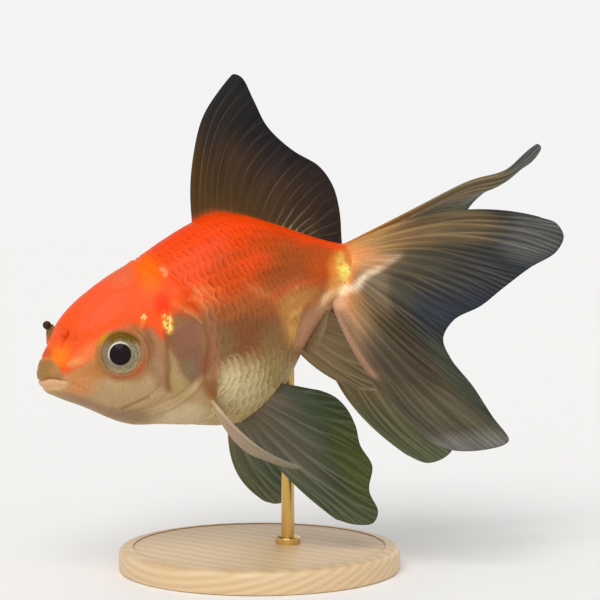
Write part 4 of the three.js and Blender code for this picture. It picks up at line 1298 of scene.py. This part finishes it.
def scaleX(column, share):  # distance from the snout
    down = fromBack(share)
    pitch = easedThrough(down, coat["pitch"]) - coat["shrink"] * np.abs(column)
    return easedThrough(down, coat["frontAt"]) + pitch * column


def makeScales():
    scales = flatSheet("scales", *coat["plate"])
    spacing, columns = coat["spacing"], coat["columns"]
    for count, way in ((columns, (spacing, 0, 0)), (coat["rows"], (0, spacing, 0))):
        modified(
            scales, "ARRAY", count=count, use_relative_offset=False, use_constant_offset=True,
            constant_offset_displace=way,
        )
    finished(scales)
    flat = readVertices(scales)
    column, row = np.round(flat[:, 0] / spacing), np.round(flat[:, 1] / spacing)
    wide = flat[:, 0] - column * spacing
    long = (flat[:, 1] - row * spacing + 1) / 2
    v = 1 - (1 - long) ** coat["bunched"]
    swing = wide * math.pi / 2 * coat["swing"]
    w = np.sin(swing)
    index = (row * columns + column).astype(int)
    chance = np.random.default_rng(coat["seed"])
    count = columns * coat["rows"]
    loose = chance.normal(0, coat["loose"], (count, 3))
    tone = chance.normal(0, 1, (count, 2))
    # lay each plate on the body
    tip = coat["tipAt"] - coat["roundness"] * (1 - np.cos(swing))
    run = coat["rootAt"] + (tip - coat["rootAt"]) * v
    spread = w * coat["halfWidth"] * (coat["rootWidth"] + (1 - coat["rootWidth"]) * eased(v / 0.6))
    share = (row + spread + loose[index, 0]) / coat["rows"]
    table = surfaceTable()
    place, normal = onBody(table, scaleX(column - 0.5 * (row % 2) + loose[index, 1] + run, share), share)
    height = -coat["sink"] + coat["lift"] * v * (1 + 1.5 * loose[index, 2]) + coat["crown"] * (1 - w * w) * v
    height -= np.where(flat[:, 2] > 0, 0, coat["thick"] * (1.3 - 0.6 * v))
    fromFront = -lineDistance(lines["scaleFront"], place[:, 0], place[:, 2])[0]
    height -= coat["tucked"] * (1 - eased(fromFront / coat["tuckRun"]))
    place = place + normal * height[:, None]
    # the middle of each scale's open part decides whether it is there and how it is coloured
    middleRow, middleColumn = np.divmod(np.arange(count), columns)
    middleShare = middleRow / coat["rows"]
    middleX = scaleX(middleColumn - 0.5 * (middleRow % 2) + 0.5, middleShare)
    centre, _ = onBody(table, middleX, middleShare)
    front = lineDistance(lines["scaleFront"], centre[:, 0], centre[:, 2])[0]
    kept = (front < coat["underFront"]) & (middleX < coat["lastAt"])
    belly = eased((-centre[:, 2] - 6) / 5) * eased((50 - centre[:, 0]) / 6)

    def withBelly(key):  # the value of each scale, with what the belly adds
        return coat[key][0] + coat[key][1] * belly

    own = bodyPaint(centre) * (1 + withBelly("toneSpread")[:, None] * tone[:, :1])
    # how strongly each scale shows its darker pocket (part pigment, part painted shadow) and its rim's
    # painted highlight
    band = straightThrough(fromBack(middleShare), coat["pocketShow"]) * eased((60 - centre[:, 0]) / 14)
    contrast = np.clip(withBelly("pocket") + band + coat["pocketSpread"] * tone[:, 1], 0.06, 1.1)
    movePoints(scales, toModel(place))
    setPaint(scales, laid(bodyPaint(place), own[index], withBelly("ownTone")[index]), contrast[index])
    # a map over each scale for its own pattern, and its patch on the unwrapped skin
    while scales.data.uv_layers:
        scales.data.uv_layers.remove(scales.data.uv_layers[0])
    addMap(scales, "ScaleUV", np.stack([w * 0.5, v], -1))
    ring = np.interp(np.interp(middleX, table[1], table[0]), stationShares, ringShares)
    strip = body["flapStrip"]
    rootPlace = np.stack([0.02 + 0.96 * middleShare, strip + (1 - strip) * (1 - ring)], -1)
    addMap(scales, "OFBake", rootPlace[index] + np.stack([wide, long * 2 - 1], -1) * coat["patch"] / 2)
    # take away the scales that would lie on the head or past the tail root
    shape = bmesh.new()
    shape.from_mesh(scales.data)
    shape.verts.ensure_lookup_table()
    gone = [shape.verts[i] for i in np.flatnonzero(~kept[index])]
    bmesh.ops.delete(shape, geom=gone, context="VERTS")
    shape.to_mesh(scales.data)
    shape.free()
    bpy.ops.object.shade_smooth_by_angle(angle=math.radians(40))
    handIn(scales, materials["scale"], "skin")
    print("scales laid:", int(kept.sum()))


makeScales()

# Eyes
eyeLook = {
    "segments": 128,
    "rings": 96,
    "pupil": 2.08,  # radii round the axis, in millimetres
    "ring": 2.3,
    "iris": 3.72,
    "pupilShift": (-0.23, 0.16),  # towards the tail and up from the middle of the iris
    "dip": (3.1, 0.6, 0.16),  # of the iris between its rims: distance from the axis, width and depth
    "bulge": (1.9, 0.05),  # of the pupil: width and height
    # top is painted shadow on the upper part of the iris, from the skin over the eye
    "colours": {
        "pupil": "#1b0f12", "ring": "#ece2ce", "iris": "#8a8064", "silver": "#b8ae8a", "top": "#70520e",
        "bottom": "#948c68", "rim": "#bc9c74", "edge": "#86582e", "left": "#88745e",
    },
}


def makeEye(name, side, node):
    eye = addBall(name, eyeLook["segments"], eyeLook["rings"])
    ball = readVertices(eye)
    radius = eyePlace["radius"]
    out = np.hypot(ball[:, 0], ball[:, 1]) * radius  # distance from the axis
    fromPupil = np.linalg.norm(ball[:, :2] * radius - eyeLook["pupilShift"], axis=1)
    front = ball[:, 2] > 0
    far, width, depth = eyeLook["dip"]
    wide, rise = eyeLook["bulge"]
    raised = rise * bell((out / wide) ** 2) - depth * bell((out - far) / width)
    reach = radius + np.where(front, raised, 0)
    axis = eyeAxis(side)
    upward = np.array([0, 0, 1.0]) - axis[2] * axis
    upward /= np.linalg.norm(upward)
    rearward = np.cross(axis, upward) * side  # towards the tail on either side
    place = ball @ np.stack([rearward, upward, axis])
    centre = np.array([eyePlace["x"], side * eyePlace["side"], eyePlace["z"]])
    movePoints(eye, toModel(centre + place * reach[:, None]))
    turn = np.degrees(np.arctan2(ball[:, 1], ball[:, 0]))  # 0 towards the tail, 90 up

    def arc(middle, half):
        return eased((half - np.abs((turn - middle + 180) % 360 - 180)) / 40 + 0.5)

    band = eased((fromPupil - eyeLook["ring"]) / 0.3)
    grains = lattice(ball[:, 0] * 20, ball[:, 1] * 20, 61)
    ringWidth = 0.12 + 0.06 * arc(90, 20)
    ringLit = 0.12 + 0.88 * arc(113, 70)  # the white ring is brightest above and in front
    colour = np.tile(linear(eyeLook["colours"]["iris"]), (len(ball), 1))
    for tone, weight in (
        ("left", arc(163, 50) * band),
        ("bottom", arc(-100, 60) * band),
        ("silver", arc(-55, 80) * band * eased(grains * 1.5) * 0.8),
        ("edge", arc(-95, 60) * band * eased(-grains * 2 - 0.9) * 0.6),
        # the darker top of the iris: painted shadow from the skin over the eye
        ("top", arc(74, 48) * eased((out - 2.6 + 0.25 * grains) / 0.6)),
        ("rim", arc(-70, 70) * bell((out - 3.5) / 0.18) * 0.8),
        ("ring", bell(((fromPupil - eyeLook["ring"] + 0.08) / ringWidth) ** 2) * ringLit),
        ("pupil", eased((eyeLook["pupil"] - fromPupil) / 0.2 + 0.5)),
        ("edge", np.where(front, eased((out - eyeLook["iris"] + 0.1) / 0.4) * 0.9, 1)),
    ):
        colour = laid(colour, eyeLook["colours"][tone], weight)
    setPaint(eye, colour)
    if side > 0:  # its frame is mirrored, which turns the faces inwards
        bpy.ops.object.mode_set(mode="EDIT")
        bpy.ops.mesh.select_all(action="SELECT")
        bpy.ops.mesh.normals_make_consistent(inside=False)
        bpy.ops.object.mode_set(mode="OBJECT")
    bpy.ops.object.shade_smooth()
    handIn(eye, materials["eye"], "eye", node)
    print("eye made:", name)


makeEye("eyeLeft", -1, "eye_left")
makeEye("eyeRight", 1, "eye_right")

# The stand
stand = {
    "radius": 28.0,
    "thick": 4.5,
    "edge": 1.2,
    "foot": 0.6,
    "groove": (3.2, 0.7, 0.4),  # distance from the edge, width and depth of the turned groove
    "rodAt": 6.0,
    "rodRadius": 1.3,
    "rodTop": 42.6,
    "collar": (2.5, 1.5, 0.45),  # radius, height and rounding of the collar at the rod's foot
}


def pick(piece, kind, height):  # in edit mode, picks the edges or faces within 0.05 mm of a height
    bpy.ops.mesh.select_mode(type=kind)
    bpy.ops.mesh.select_all(action="DESELECT")
    shape = bmesh.from_edit_mesh(piece.data)
    for element in (shape.edges if kind == "EDGE" else shape.faces):
        element.select = all(abs(vertex.co.z / mm - height) < 0.05 for vertex in element.verts)
    bmesh.update_edit_mesh(piece.data)


def addCylinder(name, sides, radius, low, high, x=0.0):
    return finished(added(
        name, bpy.ops.mesh.primitive_cylinder_add, vertices=sides, radius=radius * mm,
        depth=(high - low) * mm, location=(x * mm, 0, (low + high) / 2 * mm),
    ))


def makeBase():
    top = stand["thick"]
    base = addCylinder("standBase", 160, stand["radius"], 0, top)
    bpy.ops.object.mode_set(mode="EDIT")
    for height, rounding, segments in ((top, stand["edge"], 8), (0, stand["foot"], 2)):
        pick(base, "EDGE", height)
        bpy.ops.mesh.bevel(offset=rounding * mm, segments=segments, affect="EDGES")
    inward, width, depth = stand["groove"]
    lip = 0.15  # a narrow step at both banks of the groove
    pick(base, "FACE", top)
    for step, rise in (
        (inward - stand["edge"], 0), (lip, 0), (width / 2, -depth), (width / 2, depth), (lip, 0),
    ):
        bpy.ops.mesh.inset(thickness=step * mm)
        bpy.ops.transform.translate(value=(0, 0, rise * mm))
    bpy.ops.object.mode_set(mode="OBJECT")
    bpy.ops.object.shade_smooth_by_angle(angle=math.radians(35))
    handIn(base, materials["beech"], "stand_wood", "stand_base")
    print("stand base turned")


def makeRod():
    radius, height, rounding = stand["collar"]
    top = stand["thick"]
    rod = addCylinder("standRod", 48, stand["rodRadius"], top - 1, stand["rodTop"], stand["rodAt"])
    collar = addCylinder("collar", 64, radius, top - 0.5, top + height, stand["rodAt"])
    bpy.ops.object.mode_set(mode="EDIT")
    pick(collar, "EDGE", top + height)
    bpy.ops.mesh.bevel(offset=rounding * mm, segments=5, affect="EDGES")
    bpy.ops.object.mode_set(mode="OBJECT")
    selectOnly(collar, rod)
    bpy.ops.object.join()
    bpy.ops.object.shade_smooth_by_angle(angle=math.radians(35))
    handIn(rod, materials["brass"], "stand_brass", "stand_rod")
    print("stand rod made")


makeBase()
makeRod()

# Floor and light
studio = {
    "floor": "#f7f6f4",
    "fibres": 0.9,  # in a millimetre of its paper
    "floorRadius": 3000.0,
    "skyLow": 0.9,  # brightness of the white room near the horizon, and overhead
    "skyHigh": 0.42,
    "skyEdge": (0.2, 0.6),  # sine of the height where the one fades into the other
    "lights": {  # direction they come from, apparent width in degrees, strength
        "key": {"from": (-0.42, -0.62, 0.85), "width": 44.0, "power": 1.75},
        "rim": {"from": (0.7, 0.75, 0.6), "width": 40.0, "power": 0.35},
    },
}


def makeStudio():
    floor = added(
        "floor", bpy.ops.mesh.primitive_circle_add,
        vertices=96, radius=studio["floorRadius"] * mm, fill_type="NGON",
    )
    floor.data.materials.append(makeMaterial(
        "matteStudioPaper",
        {"Base Color": (*linear(studio["floor"]), 1), "Roughness": 0.95, "Specular IOR Level": 0.1},
        {
            "fibres": ("TexNoise", {"Scale": studio["fibres"] / mm, "Detail": 2.0}, onObject),
            "grain": ("Bump", {"Strength": 0.05, "Distance": 0.1 * mm}, {"Height": "fibres"}),
        },
    ))
    for name, light in studio["lights"].items():
        data = bpy.data.lights.new(name, "SUN")
        data.angle = math.radians(light["width"])
        data.energy = light["power"]
        lamp = bpy.data.objects.new(name, data)
        bpy.context.scene.collection.objects.link(lamp)
        lamp.rotation_euler = Vector(light["from"]).to_track_quat("Z", "Y").to_euler()
    world = bpy.data.worlds.new("studioRoom")
    bpy.context.scene.world = world
    world.use_nodes = True
    sky = world.node_tree.nodes["Background"]
    sky.inputs["Color"].default_value = (1, 1, 1, 1)
    low, high = studio["skyEdge"]
    growTree(
        world.node_tree, sky,
        {
            "place": ("TexCoord", {}, {}),
            "parts": ("SeparateXYZ", {}, {"Vector": "place.Generated"}),
            "height": (
                "MapRange",
                {**softStep, "From Min": low, "From Max": high, "To Min": studio["skyLow"],
                 "To Max": studio["skyHigh"]},
                {"Value": "parts.Z"},
            ),
        },
        {"Strength": "height"},
    )
    bpy.context.scene.view_settings.view_transform = "Standard"


makeStudio()
print("studio lit")
